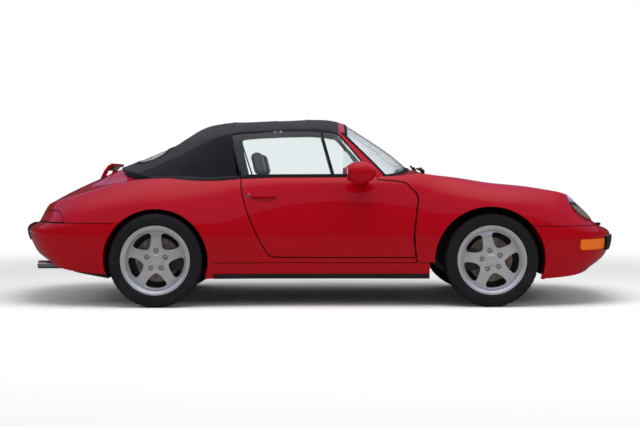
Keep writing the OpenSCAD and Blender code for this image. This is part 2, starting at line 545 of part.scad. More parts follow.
// ---- Running gear ----
module at_front() translate([axle_front, y_front, wheel_z]) children();
module at_rear() translate([axle_rear, y_rear, wheel_z]) children();
module knuckle() color([0.2, 0.2, 0.2]) meshed() union() {
    at_front() carrier(180);
    rod(king_low + king_dir * 5.4, king_low + king_dir * 250, 26);
    at_front() cyl_y(0, 0, 40, -100, -60);
    translate([axle_front - 130, y_front - 80, wheel_z - 70]) cube([140, 22, 22]);
}
module front_suspension() color([0.15, 0.15, 0.15]) {
    both() {
        rod(king_low + king_dir * 250.3, king_top - king_dir * 24, 24);
        rod(king_low + king_dir * 400, king_top - king_dir * 60, 48);
        rod(king_low - king_dir * 30, king_low + king_dir * 5, 18);
        rod([axle_front, king_low[1] + 4, 170], [axle_front, 380, 230], 14);
        rod([axle_front, king_low[1] - 20, 170], [axle_front - 240, 400, 230], 13);
    }
    block(axle_front - 60, axle_front + 60, -420, 420, 212, 290 - seat_gap);
    block(axle_front - 290, axle_front - 230, -420, 420, 212, 270);
    block(axle_front - 230, axle_front - 60, -60, 60, 212, 260);
    both() block(axle_front - 50, axle_front + 50, 412, 425, 212, 790);
    both() block(axle_front - 50, axle_front + 50, 412, 560, 766, 790);
}
module rear_suspension() color([0.15, 0.15, 0.15]) {
    both() {
        at_rear() carrier(0);
        rod([axle_rear, y_rear - 95, wheel_z], [axle_rear, 140, wheel_z], 20);
        rod([axle_rear, y_rear - 95, wheel_z - 60], [axle_rear, 200, wheel_z - 80], 22);
        rod([axle_rear, y_rear - 130, wheel_z - 20], [axle_rear, 540, 700], 20);
        rod([axle_rear, y_rear - 120, wheel_z + 20], [axle_rear, y_rear - 120, wheel_z - 70], 18);
        at_rear() cyl_y(0, 0, 36, -110, -60);
    }
    block(axle_rear - 60, axle_rear + 60, -480 + seat_gap, 480 - seat_gap, wheel_z - 100, wheel_z - 60);
    block(axle_rear - 40, axle_rear + 40, -140.3, 140.3, wheel_z - 60, wheel_z + 40);
}
module engine_block() color([0.5, 0.5, 0.52]) {
    block(sx(-1870), sx(-1290), -360, 360, 260, 660);
    block(sx(-1290), axle_rear - 60 - seat_gap, -140, 140, 240, 480);
}
module exhaust() color([0.55, 0.52, 0.5]) both() {
    block(sx(-1790), sx(-1520), 390, 610, 250, 400);
    translate([sx(-1950), 560, 272]) rotate([0, 90, 0]) scale([0.64, 1, 1]) difference() {
        cylinder(r = 44, h = 180, $fn = 48);
        translate([0, 0, -1]) cylinder(r = 39, h = 150, $fn = 48);
    }
    block(sx(-1530), sx(-1500), 360.3, 420, 300, 340);
}

body_shell();
rear_quarters();
floor_pan();
right() front_fender();  // front_fender_right
front_fender();  // front_fender_left
front_bumper();
rear_bumper();
windscreen();
front_lid();
engine_lid();
brake_light_arch();
right() door();  // door_right
door();  // door_left
right() door_glass();  // door_glass_right
door_glass();  // door_glass_left
right() mirror_shell();  // mirror_right
mirror_shell();  // mirror_left
soft_top();
rear_window();
headlamps();
front_indicators();
tail_lamps();
right() seat_left();  // seat_right
seat_left();
rear_seats();
dashboard();
steering_wheel();
right() at_front() tyre(tyre_w_front);  // tyre_front_right
at_front() tyre(tyre_w_front);  // tyre_front_left
right() at_rear() tyre(tyre_w_rear);  // tyre_rear_right
at_rear() tyre(tyre_w_rear);  // tyre_rear_left
right() at_front() rim(tyre_w_front, 26);  // rim_front_right
at_front() rim(tyre_w_front, 26);  // rim_front_left
right() at_rear() rim(tyre_w_rear, 50);  // rim_rear_right
at_rear() rim(tyre_w_rear, 50);  // rim_rear_left
right() at_front() disc();  // disc_front_right
at_front() disc();  // disc_front_left
right() at_rear() disc();  // disc_rear_right
at_rear() disc();  // disc_rear_left
right() knuckle();  // knuckle_right
knuckle();  // knuckle_left
front_suspension();
rear_suspension();
engine_block();
exhaust();
wipers();
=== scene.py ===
"""Finish of a two-door convertible car: fine body panels, soft top, glass, wheels, lamps, trim and cabin."""
import json
import math

import bmesh
import bpy
import numpy as np
from mathutils import Matrix, Vector
from mathutils.bvhtree import BVHTree

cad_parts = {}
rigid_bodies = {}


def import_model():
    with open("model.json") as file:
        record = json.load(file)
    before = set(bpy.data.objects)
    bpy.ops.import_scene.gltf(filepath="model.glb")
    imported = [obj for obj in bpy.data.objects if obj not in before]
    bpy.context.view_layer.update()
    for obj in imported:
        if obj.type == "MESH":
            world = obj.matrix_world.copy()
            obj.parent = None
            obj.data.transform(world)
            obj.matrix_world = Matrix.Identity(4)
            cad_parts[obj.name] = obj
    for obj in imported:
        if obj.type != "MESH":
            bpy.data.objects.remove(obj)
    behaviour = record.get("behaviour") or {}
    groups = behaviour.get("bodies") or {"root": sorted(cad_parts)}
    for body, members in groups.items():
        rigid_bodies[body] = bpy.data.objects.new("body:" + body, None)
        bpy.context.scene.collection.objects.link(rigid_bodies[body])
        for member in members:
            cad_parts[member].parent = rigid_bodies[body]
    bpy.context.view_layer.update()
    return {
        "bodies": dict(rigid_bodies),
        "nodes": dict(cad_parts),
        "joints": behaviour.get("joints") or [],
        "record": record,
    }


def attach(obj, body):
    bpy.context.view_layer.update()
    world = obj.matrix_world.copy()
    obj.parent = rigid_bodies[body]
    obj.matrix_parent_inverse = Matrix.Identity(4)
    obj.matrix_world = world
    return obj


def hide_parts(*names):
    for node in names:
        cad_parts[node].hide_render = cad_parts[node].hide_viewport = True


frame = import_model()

MM = 0.001
SIDES = ((1, "left"), (-1, "right"))
FAR = 3000  # past either end of the car, in millimetres
bpy.ops.object.select_all(action="DESELECT")

# ---------------------------------------------------------------- the body's surface
# Flank stations from the nose to the tail: x, y of the widest line; inset and z of the lower edge;
# inset and z of the lower flank; z of the widest line; inset and z of the shoulder; inset of the crest
FLANK = [
    [2122.5, 0, 165, 265, 45, 330, 440, 28, 512, 190],
    [2085, 320, 155, 258, 42, 325, 445, 28, 512, 185],
    [1970, 580, 115, 235, 36, 315, 450, 26, 522, 190],
    [1760, 745, 68, 205, 26, 300, 458, 36, 580, 175],
    [1480, 815, 55, 188, 22, 295, 475, 52, 690, 210],
    [1169.5, 838, 50, 188, 18, 295, 500, 46, 725, 232],
    [860, 822, 45, 190, 16, 295, 520, 62, 770, 200],
    [620, 808, 40, 191, 15, 295, 520, 52, 792, 130],
    [100, 802, 40, 191, 14, 295, 520, 44, 792, 100],
    [-400, 812, 42, 191, 15, 295, 520, 56, 790, 120],
    [-750, 846, 50, 192, 20, 298, 520, 78, 765, 190],
    [-1102.5, 867.5, 55, 200, 20, 300, 520, 64, 738, 215],
    [-1450, 852, 60, 222, 22, 310, 505, 60, 692, 225],
    [-1750, 790, 75, 248, 30, 330, 500, 56, 628, 205],
    [-1950, 640, 105, 290, 45, 355, 505, 66, 575, 160],
    [-2070, 360, 120, 318, 50, 368, 508, 70, 565, 140],
    [-2122.5, 0, 125, 322, 52, 370, 510, 70, 563, 140]]
# Upper surface: x, z on the centreline, z and y of the wing crest
DECK = [
    [-2122.5, 560, 560, 500], [-2050, 618, 612, 510], [-1985, 665, 652, 530], [-1930, 702, 680, 550],
    [-1830, 760, 712, 580], [-1700, 823, 750, 610], [-1580, 876, 785, 630], [-1440, 938, 822, 650],
    [-1300, 948, 850, 660], [-1150, 950, 868, 670], [-900, 950, 872, 680], [-300, 955, 876, 695],
    [300, 955, 880, 690], [560, 950, 890, 640], [680, 932, 905, 615], [800, 897, 893, 615],
    [950, 855, 876, 610], [1170, 803, 842, 600], [1400, 748, 819, 590], [1560, 703, 795, 580],
    [1680, 664, 772, 570], [1735, 645, 750, 566], [1790, 624, 714, 562], [1840, 604, 655, 555],
    [1880, 585, 612, 545], [1932, 558, 560, 530], [2030, 512, 510, 520], [2122.5, 465, 465, 520]]
# Greenhouse columns from the foot of the windscreen round to the back: foot, middle and rail points
CANOPY = [
    [[705, 0, 893], [505, 0, 1060], [182, 0, 1272]],
    [[655, 360, 893], [480, 318, 1052], [178, 262, 1257]],
    [[545, 570, 884], [395, 508, 1028], [168, 430, 1215]],
    [[430, 645, 873], [312, 602, 1010], [145, 522, 1180]],
    [[280, 672, 870], [205, 622, 1020], [80, 534, 1192]],
    [[0, 688, 868], [-20, 628, 1035], [-40, 540, 1203]],
    [[-350, 692, 866], [-360, 630, 1032], [-375, 538, 1196]],
    [[-560, 690, 862], [-575, 624, 1020], [-590, 526, 1180]],
    [[-800, 680, 858], [-770, 600, 1005], [-735, 490, 1160]],
    [[-1020, 660, 856], [-950, 548, 995], [-860, 420, 1135]],
    [[-1200, 610, 885], [-1090, 468, 1000], [-950, 330, 1118]],
    [[-1350, 450, 925], [-1210, 330, 1012], [-1010, 210, 1122]],
    [[-1425, 230, 948], [-1260, 165, 1018], [-1035, 105, 1122]],
    [[-1450, 0, 950], [-1280, 0, 1015], [-1050, 0, 1120]]]
# Height of the roof along the middle: x, z
RIDGE = [[-1060, 1112], [-1024, 1133], [-964, 1172], [-905, 1212], [-845, 1243], [-785, 1264], [-666, 1282],
         [-487, 1290], [-248, 1298], [-60, 1305], [51, 1303], [120, 1292], [190, 1268]]
FLANK = [np.array(r, float) for r in FLANK]
CANOPY = [np.array(r, float) for r in CANOPY]
FLIP_Y = np.array([1, -1] + [1] * 8, float)
FLANK_ROWS = [FLANK[1] * FLIP_Y] + FLANK + [FLANK[-2] * FLIP_Y]
CANOPY_ROWS = [CANOPY[1] * [1, -1, 1]] + CANOPY + [CANOPY[-2] * [1, -1, 1]]
BONNET_CROWN = 14


def smooth(a, b, k):
    q = min(1, max(0, (k - a) / (b - a)))
    return q * q * (3 - 2 * q)


def spline(rows, s):
    """Catmull-Rom spline through rows, with one row beyond each end."""
    i = min(len(rows) - 4, max(0, math.floor(s)))
    q = s - i
    a, b, c, d = rows[i:i + 4]
    return 0.5 * (2 * b + (c - a) * q + (2 * a - 5 * b + 4 * c - d) * q * q
                  + (3 * b - a - 3 * c + d) * q ** 3)


def curve(table, x, c):
    """Smooth curve through a table whose first column is x, for column c."""
    i = max(k for k in range(len(table) - 1) if k == 0 or table[k][0] <= x)
    h = table[i + 1][0] - table[i][0]
    q = min(1, max(0, (x - table[i][0]) / h))

    def slope(k):
        if k <= 0 or k >= len(table) - 1:
            return 0
        return (table[k + 1][c] - table[k - 1][c]) / (table[k + 1][0] - table[k - 1][0])
    return ((2 * q ** 3 - 3 * q * q + 1) * table[i][c] + (q ** 3 - 2 * q * q + q) * h * slope(i)
            + (3 * q * q - 2 * q ** 3) * table[i + 1][c] + (q ** 3 - q * q) * h * slope(i + 1))


def deck_z(x, y):
    """Height of the wings, lids and cowl above the ground at x, y."""
    k = abs(y) / curve(DECK, x, 3)
    rise = smooth(0.35, 1, k)
    c = curve(DECK, x, 1)
    return c + (curve(DECK, x, 2) - c) * rise - BONNET_CROWN * min(k, 0.7) ** 2 / 0.49 * (1 - rise)


def unit(v):
    return v / max(1e-9, np.linalg.norm(v))


def flank_points(s):
    """Control points of one meridian of the body, from its lower edge to inside the crest."""
    e = 0.01
    last = len(FLANK) - 1
    r, a, b = (spline(FLANK_ROWS, min(last, max(0, k))) for k in (s, s - e, s + e))
    n = -unit(np.array([b[1] - a[1], a[0] - b[0]]))
    if s <= 0 or s >= last:
        n = np.array([-1.0 if s <= 0 else 1.0, 0])

    def at(inset, z):
        return np.array([r[0] + n[0] * inset, r[1] + n[1] * inset, z])

    def top(inset):
        p = at(inset, 0)
        return np.array([p[0], p[1], deck_z(p[0], p[1])])
    return [at(r[2], r[3]), at(r[4], r[5]), at(0, r[6]), at(r[7], r[8]), top(r[9]), top(r[9] + 90)]


def flank_column(s, steps, deck_steps):
    """Points of one meridian of the body from its lower edge to the spine, and its inward direction."""
    p = flank_points(s)
    rows = [2 * p[0] - p[1]] + p
    crest = p[4]
    spine_x = min(1500, max(-1550, crest[0]))
    out = [spline(rows, v / steps) for v in range(4 * steps)]
    for v in range(deck_steps + 1):
        q = v / deck_steps
        x, y = crest[0] + (spine_x - crest[0]) * q, crest[1] * (1 - q)
        out.append(np.array([x, y, deck_z(x, y)]))
    return out, unit((crest - p[2])[:2])


def canopy_column(s, steps, roof_steps):
    """The same for the windscreen, side glass and roof."""
    f, g, h = spline(CANOPY_ROWS, s)
    xs = min(110, max(-860, h[0]))
    zs = curve(RIDGE, xs, 1)
    rows = [2 * f - g, f, g, h, np.array([h[0] + (xs - h[0]) * 0.3, h[1] * 0.72, h[2] + (zs - h[2]) * 0.52])]
    out = [spline(rows, v / steps) for v in range(2 * steps)]
    for v in range(roof_steps + 1):
        k = 1 - v / roof_steps
        out.append(np.array([h[0] + (xs - h[0]) * (1 - k * k), h[1] * k, zs - (zs - h[2]) * k ** 2.1]))
    return out, unit((h - f)[:2])


def moved_column(column, depth):
    """Moves a column inwards by depth(point), square to the column and to its plan direction."""
    points, n = column
    moved = []
    for i, p in enumerate(points):
        run = points[min(i + 1, len(points) - 1)] - points[max(i - 1, 0)]
        up = unit(np.array([run[:2] @ n, run[2]])) if i < len(points) - 1 else np.array([1.0, 0])
        t = depth(p)
        moved.append(p + np.array([n[0] * t * up[1], n[1] * t * up[1], -t * up[0] * (i > 0)]))
    return moved


def inset_column(column, t):
    return moved_column(column, lambda p: t) if t else column[0]


FLANK_COLUMNS = [flank_column(k / 9, 7, 22) for k in range(16 * 9 + 1)]
CANOPY_COLUMNS = [canopy_column(k / 8, 9, 18) for k in range(13 * 8 + 1)]


# ---------------------------------------------------------------- modelling helpers
def shift(x, y, z):
    """A move in millimetres."""
    return Matrix.Translation((x * MM, y * MM, z * MM))


def spin(degrees, axis):
    return Matrix.Rotation(math.radians(degrees), 4, axis)


def scale_along(axis, factor):
    return Matrix.Scale(factor, 4, [int(axis == a) for a in "xyz"])


def span(side, near, far):
    """The low and high y of a stretch from near to far on one side of the car."""
    return sorted((side * near, side * far))


def select_only(obj):
    bpy.ops.object.select_all(action="DESELECT")
    obj.select_set(True)
    bpy.context.view_layer.objects.active = obj


def mesh_object(name, points, faces, tag=0):
    """A new mesh object from points in millimetres."""
    mesh = bpy.data.meshes.new(name)
    mesh.from_pydata([tuple(c * MM for c in p) for p in points], [], faces)
    obj = bpy.data.objects.new(name, mesh)
    bpy.context.scene.collection.objects.link(obj)
    for _ in range(2):
        mesh.materials.append(None)
    for face in mesh.polygons:
        face.material_index = tag
    return obj


def closed_skin(name, columns, t=0, skirt=1):
    """A closed solid under the columns, set in by t; its faces are tagged 0 on the skin, 1 below."""
    half = [inset_column(c, t) for c in columns]
    m = len(half[0])
    ring = [[p * [1, -1, 1] for p in col] for col in half] + half[-2:0:-1]
    count = len(ring)
    points, index = [], {}
    for i, col in enumerate(ring):
        low = col[0] - np.array([0, 0, skirt])
        for j, p in enumerate([low, *col]):
            key = (round(p[0], 3), round(p[1], 3), round(p[2], 3))
            index[i, j] = index.setdefault(key, len(points))
            if index[key] == len(points):
                points.append(p)
    faces, tags = [], []
    for i in range(count):
        k = (i + 1) % count
        for j in range(m):
            corners = [index[i, j], index[k, j], index[k, j + 1], index[i, j + 1]]
            corners = [v for at, v in enumerate(corners) if v not in corners[:at]]
            if len(corners) > 2:
                faces.append(corners)
                tags.append(1 if j == 0 else 0)
    middle = len(points)
    points.append(np.array([0, 0, min(p[2] for p in points)]))
    for i in range(count):
        faces.append([middle, index[(i + 1) % count, 0], index[i, 0]])
        tags.append(1)
    obj = mesh_object(name, points, faces)
    obj.data.polygons.foreach_set("material_index", tags)
    obj.data.flip_normals()
    return obj


def prism(points, axis, low, high, tag=1):
    """A closed prism: an outline drawn in the plane square to an axis, from low to high along it."""
    order = {"x": lambda p, h: (h, p[0], p[1]), "y": lambda p, h: (p[0], h, p[1]), "z": lambda p,
             h: (p[0], p[1], h)}[axis]
    n = len(points)
    corners = [order(p, h) for h in (low, high) for p in points]
    faces = [list(range(n)), list(range(2 * n - 1, n - 1, -1))]
    faces += [[(i + 1) % n, i, n + i, n + (i + 1) % n] for i in range(n)]
    obj = mesh_object("tool", corners, faces, tag)
    face_outwards(obj)
    return obj


def face_outwards(obj):
    """Turns every face of a closed piece to look outwards."""
    edit = bmesh.new()
    edit.from_mesh(obj.data)
    bmesh.ops.recalc_face_normals(edit, faces=edit.faces)
    edit.to_mesh(obj.data)
    edit.free()


def block(x0, x1, y0, y1, z0, z1, tag=1):
    return prism([(x0, z0), (x1, z0), (x1, z1), (x0, z1)], "y", y0, y1, tag)


def turned(profile, axis, steps, tag=1, centre=(0, 0, 0)):
    """A closed solid of revolution from a profile of (radius, height along the axis)."""
    turn = {"z": lambda r, a, h: (r * math.cos(a), r * math.sin(a), h), "y": lambda r, a,
            h: (r * math.sin(a), h, r * math.cos(a)), "x": lambda r, a,
            h: (h, r * math.cos(a), r * math.sin(a))}[axis]
    edit = bmesh.new()
    rings = []
    for r, h in profile:
        if r < 1e-6:
            rings.append([edit.verts.new(turn(0, 0, h))])
        else:
            rings.append([edit.verts.new(turn(r, math.tau * k / steps, h)) for k in range(steps)])
    for a, b in zip(rings, rings[1:] + ([] if profile[0][0] < 1e-6 else rings[:1])):
        for k in range(steps):
            corner = [a[k % len(a)], a[(k + 1) % len(a)], b[(k + 1) % len(b)], b[k % len(b)]]
            corner = list(dict.fromkeys(corner))
            if len(corner) > 2:
                edit.faces.new(corner)
    bmesh.ops.recalc_face_normals(edit, faces=edit.faces)
    obj = mesh_object("turned", [], [])
    edit.to_mesh(obj.data)
    edit.free()
    obj.data.transform(Matrix.Scale(MM, 4) @ Matrix.Translation(centre))
    for face in obj.data.polygons:
        face.material_index = tag
    return obj


def mirrored(obj):
    """A copy of a piece on the car's other side."""
    other = copy_of(obj)
    other.data.transform(scale_along("y", -1))
    other.data.flip_normals()
    return other


def join(first, *rest):
    bpy.ops.object.select_all(action="DESELECT")
    for obj in (first, *rest):
        obj.select_set(True)
    bpy.context.view_layer.objects.active = first
    bpy.ops.object.join()
    return first


def both(obj):
    return join(obj, mirrored(obj))


def apply_modifiers(obj):
    select_only(obj)
    for modifier in list(obj.modifiers):
        bpy.ops.object.modifier_apply(modifier=modifier.name)
    return obj


def boolean(obj, tool, how="DIFFERENCE", keep=False):
    """Cuts obj by tool, or joins or keeps what they share. The tool is used up unless it is kept."""
    step = obj.modifiers.new("cut", "BOOLEAN")
    step.operation = how
    step.solver = "MANIFOLD"
    step.object = tool
    apply_modifiers(obj)
    if not keep:
        bpy.data.objects.remove(tool, do_unlink=True)
    return obj


def fused(*solids):
    first, *rest = solids
    for other in rest:
        boolean(first, other, "UNION")
    return first


def copy_of(obj):
    other = obj.copy()
    other.data = obj.data.copy()
    bpy.context.scene.collection.objects.link(other)
    return other


def soften(obj, angle=35):
    """Smooth shading, kept sharp at edges over the angle."""
    select_only(obj)
    bpy.ops.object.shade_smooth_by_angle(angle=math.radians(angle))
    return obj


def thicken(obj, thickness):
    step = obj.modifiers.new("wall", "SOLIDIFY")
    step.thickness = thickness * MM
    step.offset = -1
    step.use_even_offset = True
    return apply_modifiers(obj)


def round_edges(obj, width, segments, angle=40):
    step = obj.modifiers.new("round", "BEVEL")
    step.width = width * MM
    step.segments = segments
    step.limit_method = "ANGLE"
    step.angle_limit = math.radians(angle)
    step.harden_normals = False
    return apply_modifiers(obj)


def skin_only(obj):
    """Leaves only the faces of the outer surface, and closes up slivers along its cut edges."""
    edit = bmesh.new()
    edit.from_mesh(obj.data)
    bmesh.ops.delete(edit, geom=[f for f in edit.faces if f.material_index], context="FACES")
    bmesh.ops.remove_doubles(edit, verts=[v for v in edit.verts if v.is_boundary], dist=0.4 * MM)
    bmesh.ops.dissolve_degenerate(edit, edges=edit.edges, dist=0.05 * MM)
    edit.to_mesh(obj.data)
    edit.free()
    return obj


def rounded(points, radius, steps=5):
    """An outline with its corners eased into curves that start up to radius from each corner."""
    out = []
    n = len(points)
    for i, p in enumerate(points):
        a, b = np.array(points[i - 1], float), np.array(points[(i + 1) % n], float)
        p = np.array(p, float)
        da, db = np.linalg.norm(a - p), np.linalg.norm(b - p)
        start, end = p + (a - p) * min(radius, da / 2) / da, p + (b - p) * min(radius, db / 2) / db
        for k in range(steps + 1):
            q = k / steps
            out.append(tuple(start * (1 - q) ** 2 + p * 2 * q * (1 - q) + end * q * q))
    return [p for i, p in enumerate(out) if math.dist(p, out[i - 1]) > 0.05]


def grown(points, distance):
    """An outline moved outwards by a distance."""
    n = len(points)
    area = sum(points[i - 1][0] * points[i][1] - points[i][0] * points[i - 1][1] for i in range(n))
    side = 1 if area > 0 else -1
    out = []
    for i, p in enumerate(points):
        a, b = np.array(points[i - 1], float), np.array(points[(i + 1) % n], float)
        p = np.array(p, float)
        na, nb = (unit(np.array([d[1], -d[0]])) * side for d in (p - a, b - p))
        mid = unit(na + nb)
        out.append(tuple(p + mid * distance / max(0.35, mid @ na)))
    return out


def two_sided(points):
    """A plan outline drawn on the left, closed over the car's middle line."""
    return points + [(x, -y) for x, y in reversed(points) if abs(y) > 0]


def tube(name, points, radius, closed=False):
    """A round cord, seal or pipe along points in millimetres, made from a curve."""
    data = bpy.data.curves.new(name, "CURVE")
    data.dimensions = "3D"
    data.bevel_depth = radius * MM
    data.bevel_resolution = 5
    data.use_fill_caps = not closed
    line = data.splines.new("POLY")
    line.points.add(len(points) - 1)
    for at, p in zip(line.points, points):
        at.co = (*(c * MM for c in p), 1)
    line.use_cyclic_u = closed
    obj = bpy.data.objects.new(name, data)
    bpy.context.scene.collection.objects.link(obj)
    select_only(obj)
    bpy.ops.object.convert(target="MESH")
    obj = bpy.context.view_layer.objects.active
    edit = bmesh.new()
    edit.from_mesh(obj.data)
    bmesh.ops.remove_doubles(edit, verts=edit.verts, dist=0.01 * MM)
    bmesh.ops.recalc_face_normals(edit, faces=edit.faces)
    edit.to_mesh(obj.data)
    edit.free()
    return soften(obj, 60)


# ---------------------------------------------------------------- materials
def node_group(name, inputs, outputs):
    """An empty shader node group with named sockets: (name, kind, default)."""
    group = bpy.data.node_groups.new(name, "ShaderNodeTree")
    kinds = {"f": "NodeSocketFloat", "c": "NodeSocketColor", "v": "NodeSocketVector"}
    for socket, kind, default in inputs:
        made = group.interface.new_socket(socket, in_out="INPUT", socket_type=kinds[kind])
        if default is not None:
            made.default_value = default
    for socket, kind in outputs:
        group.interface.new_socket(socket, in_out="OUTPUT", socket_type=kinds[kind])
    return group, group.nodes.new("NodeGroupInput"), group.nodes.new("NodeGroupOutput")


def add_node(tree, kind, links=(), **settings):
    """A node with settings, and links given as (its input, the socket that feeds it)."""
    made = tree.nodes.new(kind)
    for key, value in settings.items():
        if key.startswith("in_"):
            made.inputs[int(key[3:]) if key[3:].isdigit()
                        else key[3:].replace("_", " ")].default_value = value
        else:
            setattr(made, key, value)
    for socket, source in links:
        tree.links.new(source, made.inputs[socket])
    return made


def speckle_group():
    """Fine grain or orange peel: a mask and a bumped normal from noise at one scale."""
    group, into, out = node_group("surface_grain", [("Scale", "f", 400.0), ("Detail", "f", 3.0),
                                                    ("Strength", "f", 0.1), ("Distance", "f", 0.001)],
                                  [("Mask", "f"), ("Normal", "v")])
    place = add_node(group, "ShaderNodeTexCoord")
    noise = add_node(group, "ShaderNodeTexNoise", [("Vector", place.outputs["Object"]),
                                                   ("Scale", into.outputs["Scale"]),
                                                   ("Detail", into.outputs["Detail"])])
    bump = add_node(group, "ShaderNodeBump", [("Height", noise.outputs["Fac"]),
                                              ("Strength", into.outputs["Strength"]),
                                              ("Distance", into.outputs["Distance"])])
    group.links.new(noise.outputs["Fac"], out.inputs["Mask"])
    group.links.new(bump.outputs["Normal"], out.inputs["Normal"])
    return group


def soiling_group():
    """Base colour and roughness changed in soft patches, and more towards the ground."""
    inputs = [("Base", "c", None), ("Soil", "c", None), ("Amount", "f", 0.2), ("Scale", "f", 3.0),
              ("Rough", "f", 0.3), ("Low", "f", 0.15), ("High", "f", 0.6)]
    group, into, out = node_group("soft_soiling", inputs, [("Color", "c"), ("Roughness", "f")])
    place = add_node(group, "ShaderNodeTexCoord")
    noise = add_node(group, "ShaderNodeTexNoise", [("Vector", place.outputs["Object"]),
                                                   ("Scale", into.outputs["Scale"])], in_Detail=6.0)
    axis = add_node(group, "ShaderNodeSeparateXYZ", [("Vector", place.outputs["Object"])])
    height = add_node(group, "ShaderNodeMapRange", [("Value", axis.outputs["Z"]),
                                                    ("From Min", into.outputs["High"]),
                                                    ("From Max", into.outputs["Low"])], in_3=0.25, in_4=1.0)
    spots = add_node(group, "ShaderNodeMapRange", [("Value", noise.outputs["Fac"])], in_1=0.35, in_2=0.75)
    share = add_node(group, "ShaderNodeMath", [(0, height.outputs["Result"]), (1, spots.outputs["Result"])],
                     operation="MULTIPLY")
    amount = add_node(group, "ShaderNodeMath", [(0, share.outputs[0]), (1, into.outputs["Amount"])],
                      operation="MULTIPLY")
    mix = add_node(group, "ShaderNodeMix", [(0, amount.outputs[0]), (6, into.outputs["Base"]),
                                            (7, into.outputs["Soil"])], data_type="RGBA")
    rough = add_node(group, "ShaderNodeMath", [(0, amount.outputs[0]), (2, into.outputs["Rough"])],
                     operation="MULTIPLY_ADD", in_1=0.5)
    group.links.new(mix.outputs[2], out.inputs["Color"])
    group.links.new(rough.outputs[0], out.inputs["Roughness"])
    return group


def weave_group():
    """Canvas: two crossing sets of threads, with a little fading and fluff."""
    group, into, out = node_group("canvas_weave", [("Base", "c", None), ("Light", "c", None),
                                                   ("Threads", "f", 700.0), ("Strength", "f", 0.4)],
                                  [("Color", "c"), ("Normal", "v"), ("Roughness", "f")])
    place = add_node(group, "ShaderNodeTexCoord")
    waves = [add_node(group, "ShaderNodeTexWave", [("Vector", place.outputs["Object"]),
                                                   ("Scale", into.outputs["Threads"])], bands_direction=d,
                      in_Distortion=0.6, in_Detail=1.0) for d in ("X", "Y")]
    cross = add_node(group, "ShaderNodeMath", [(0, waves[0].outputs["Fac"]), (1, waves[1].outputs["Fac"])],
                     operation="MULTIPLY")
    fade = add_node(group, "ShaderNodeTexNoise", [("Vector", place.outputs["Object"])], in_Scale=5.0,
                    in_Detail=8.0)
    fluff = add_node(group, "ShaderNodeTexNoise", [("Vector", place.outputs["Object"])], in_Scale=260.0,
                     in_Detail=4.0)
    both_fade = add_node(group, "ShaderNodeMath", [(0, fade.outputs["Fac"]), (1, fluff.outputs["Fac"])],
                         operation="MULTIPLY")
    share = add_node(group, "ShaderNodeMapRange", [("Value", both_fade.outputs[0])], in_1=0.12, in_2=0.45)
    mix = add_node(group, "ShaderNodeMix", [(0, share.outputs["Result"]), (6, into.outputs["Base"]),
                                            (7, into.outputs["Light"])], data_type="RGBA")
    height = add_node(group, "ShaderNodeMath", [(0, cross.outputs[0]), (1, fluff.outputs["Fac"])],
                      operation="ADD")
    bump = add_node(group, "ShaderNodeBump", [("Height", height.outputs[0]),
                                              ("Strength", into.outputs["Strength"])], in_Distance=0.0006)
    rough = add_node(group, "ShaderNodeMapRange", [("Value", fluff.outputs["Fac"])], in_3=0.8, in_4=1.0)
    group.links.new(mix.outputs[2], out.inputs["Color"])
    group.links.new(bump.outputs["Normal"], out.inputs["Normal"])
    group.links.new(rough.outputs["Result"], out.inputs["Roughness"])
    return group


GRAIN, SOIL, WEAVE = speckle_group(), soiling_group(), weave_group()


def surface(name, colour, soil, amount, patch, rough, grain, bump, depth=0.001, low=0.15, high=0.6, **fixed):
    """A finish whose colour, roughness and relief vary; fixed values go on the shader's own sockets."""
    material = bpy.data.materials.new(name)
    material.use_nodes = True
    tree = material.node_tree
    shader = tree.nodes["Principled BSDF"]
    for key, value in fixed.items():
        shader.inputs[key.replace("_", " ")].default_value = value
    dirt = add_node(tree, "ShaderNodeGroup", node_tree=SOIL)
    for key, value in (("Base", (*colour, 1)), ("Soil", (*soil, 1)), ("Amount", amount), ("Scale", patch),
                       ("Rough", rough), ("Low", low), ("High", high)):
        dirt.inputs[key].default_value = value
    relief = add_node(tree, "ShaderNodeGroup", node_tree=GRAIN)
    for key, value in (("Scale", grain), ("Strength", bump), ("Distance", depth)):
        relief.inputs[key].default_value = value
    tree.links.new(dirt.outputs["Color"], shader.inputs["Base Color"])
    tree.links.new(dirt.outputs["Roughness"], shader.inputs["Roughness"])
    tree.links.new(relief.outputs["Normal"], shader.inputs["Normal"])
    return material


def cloth(name, colour, light, threads, strength):
    """A woven finish of two close tones."""
    material = bpy.data.materials.new(name)
    material.use_nodes = True
    tree = material.node_tree
    shader = tree.nodes["Principled BSDF"]
    shader.inputs["Sheen Weight"].default_value = 0.06
    shader.inputs["Sheen Roughness"].default_value = 0.5
    shader.inputs["Specular IOR Level"].default_value = 0.2
    weave = add_node(tree, "ShaderNodeGroup", node_tree=WEAVE)
    for key, value in (("Base", (*colour, 1)), ("Light", (*light, 1)), ("Threads", threads),
                       ("Strength", strength)):
        weave.inputs[key].default_value = value
    for socket in ("Color", "Roughness", "Normal"):
        tree.links.new(weave.outputs[socket], shader.inputs["Base Color" if socket == "Color" else socket])
    return material


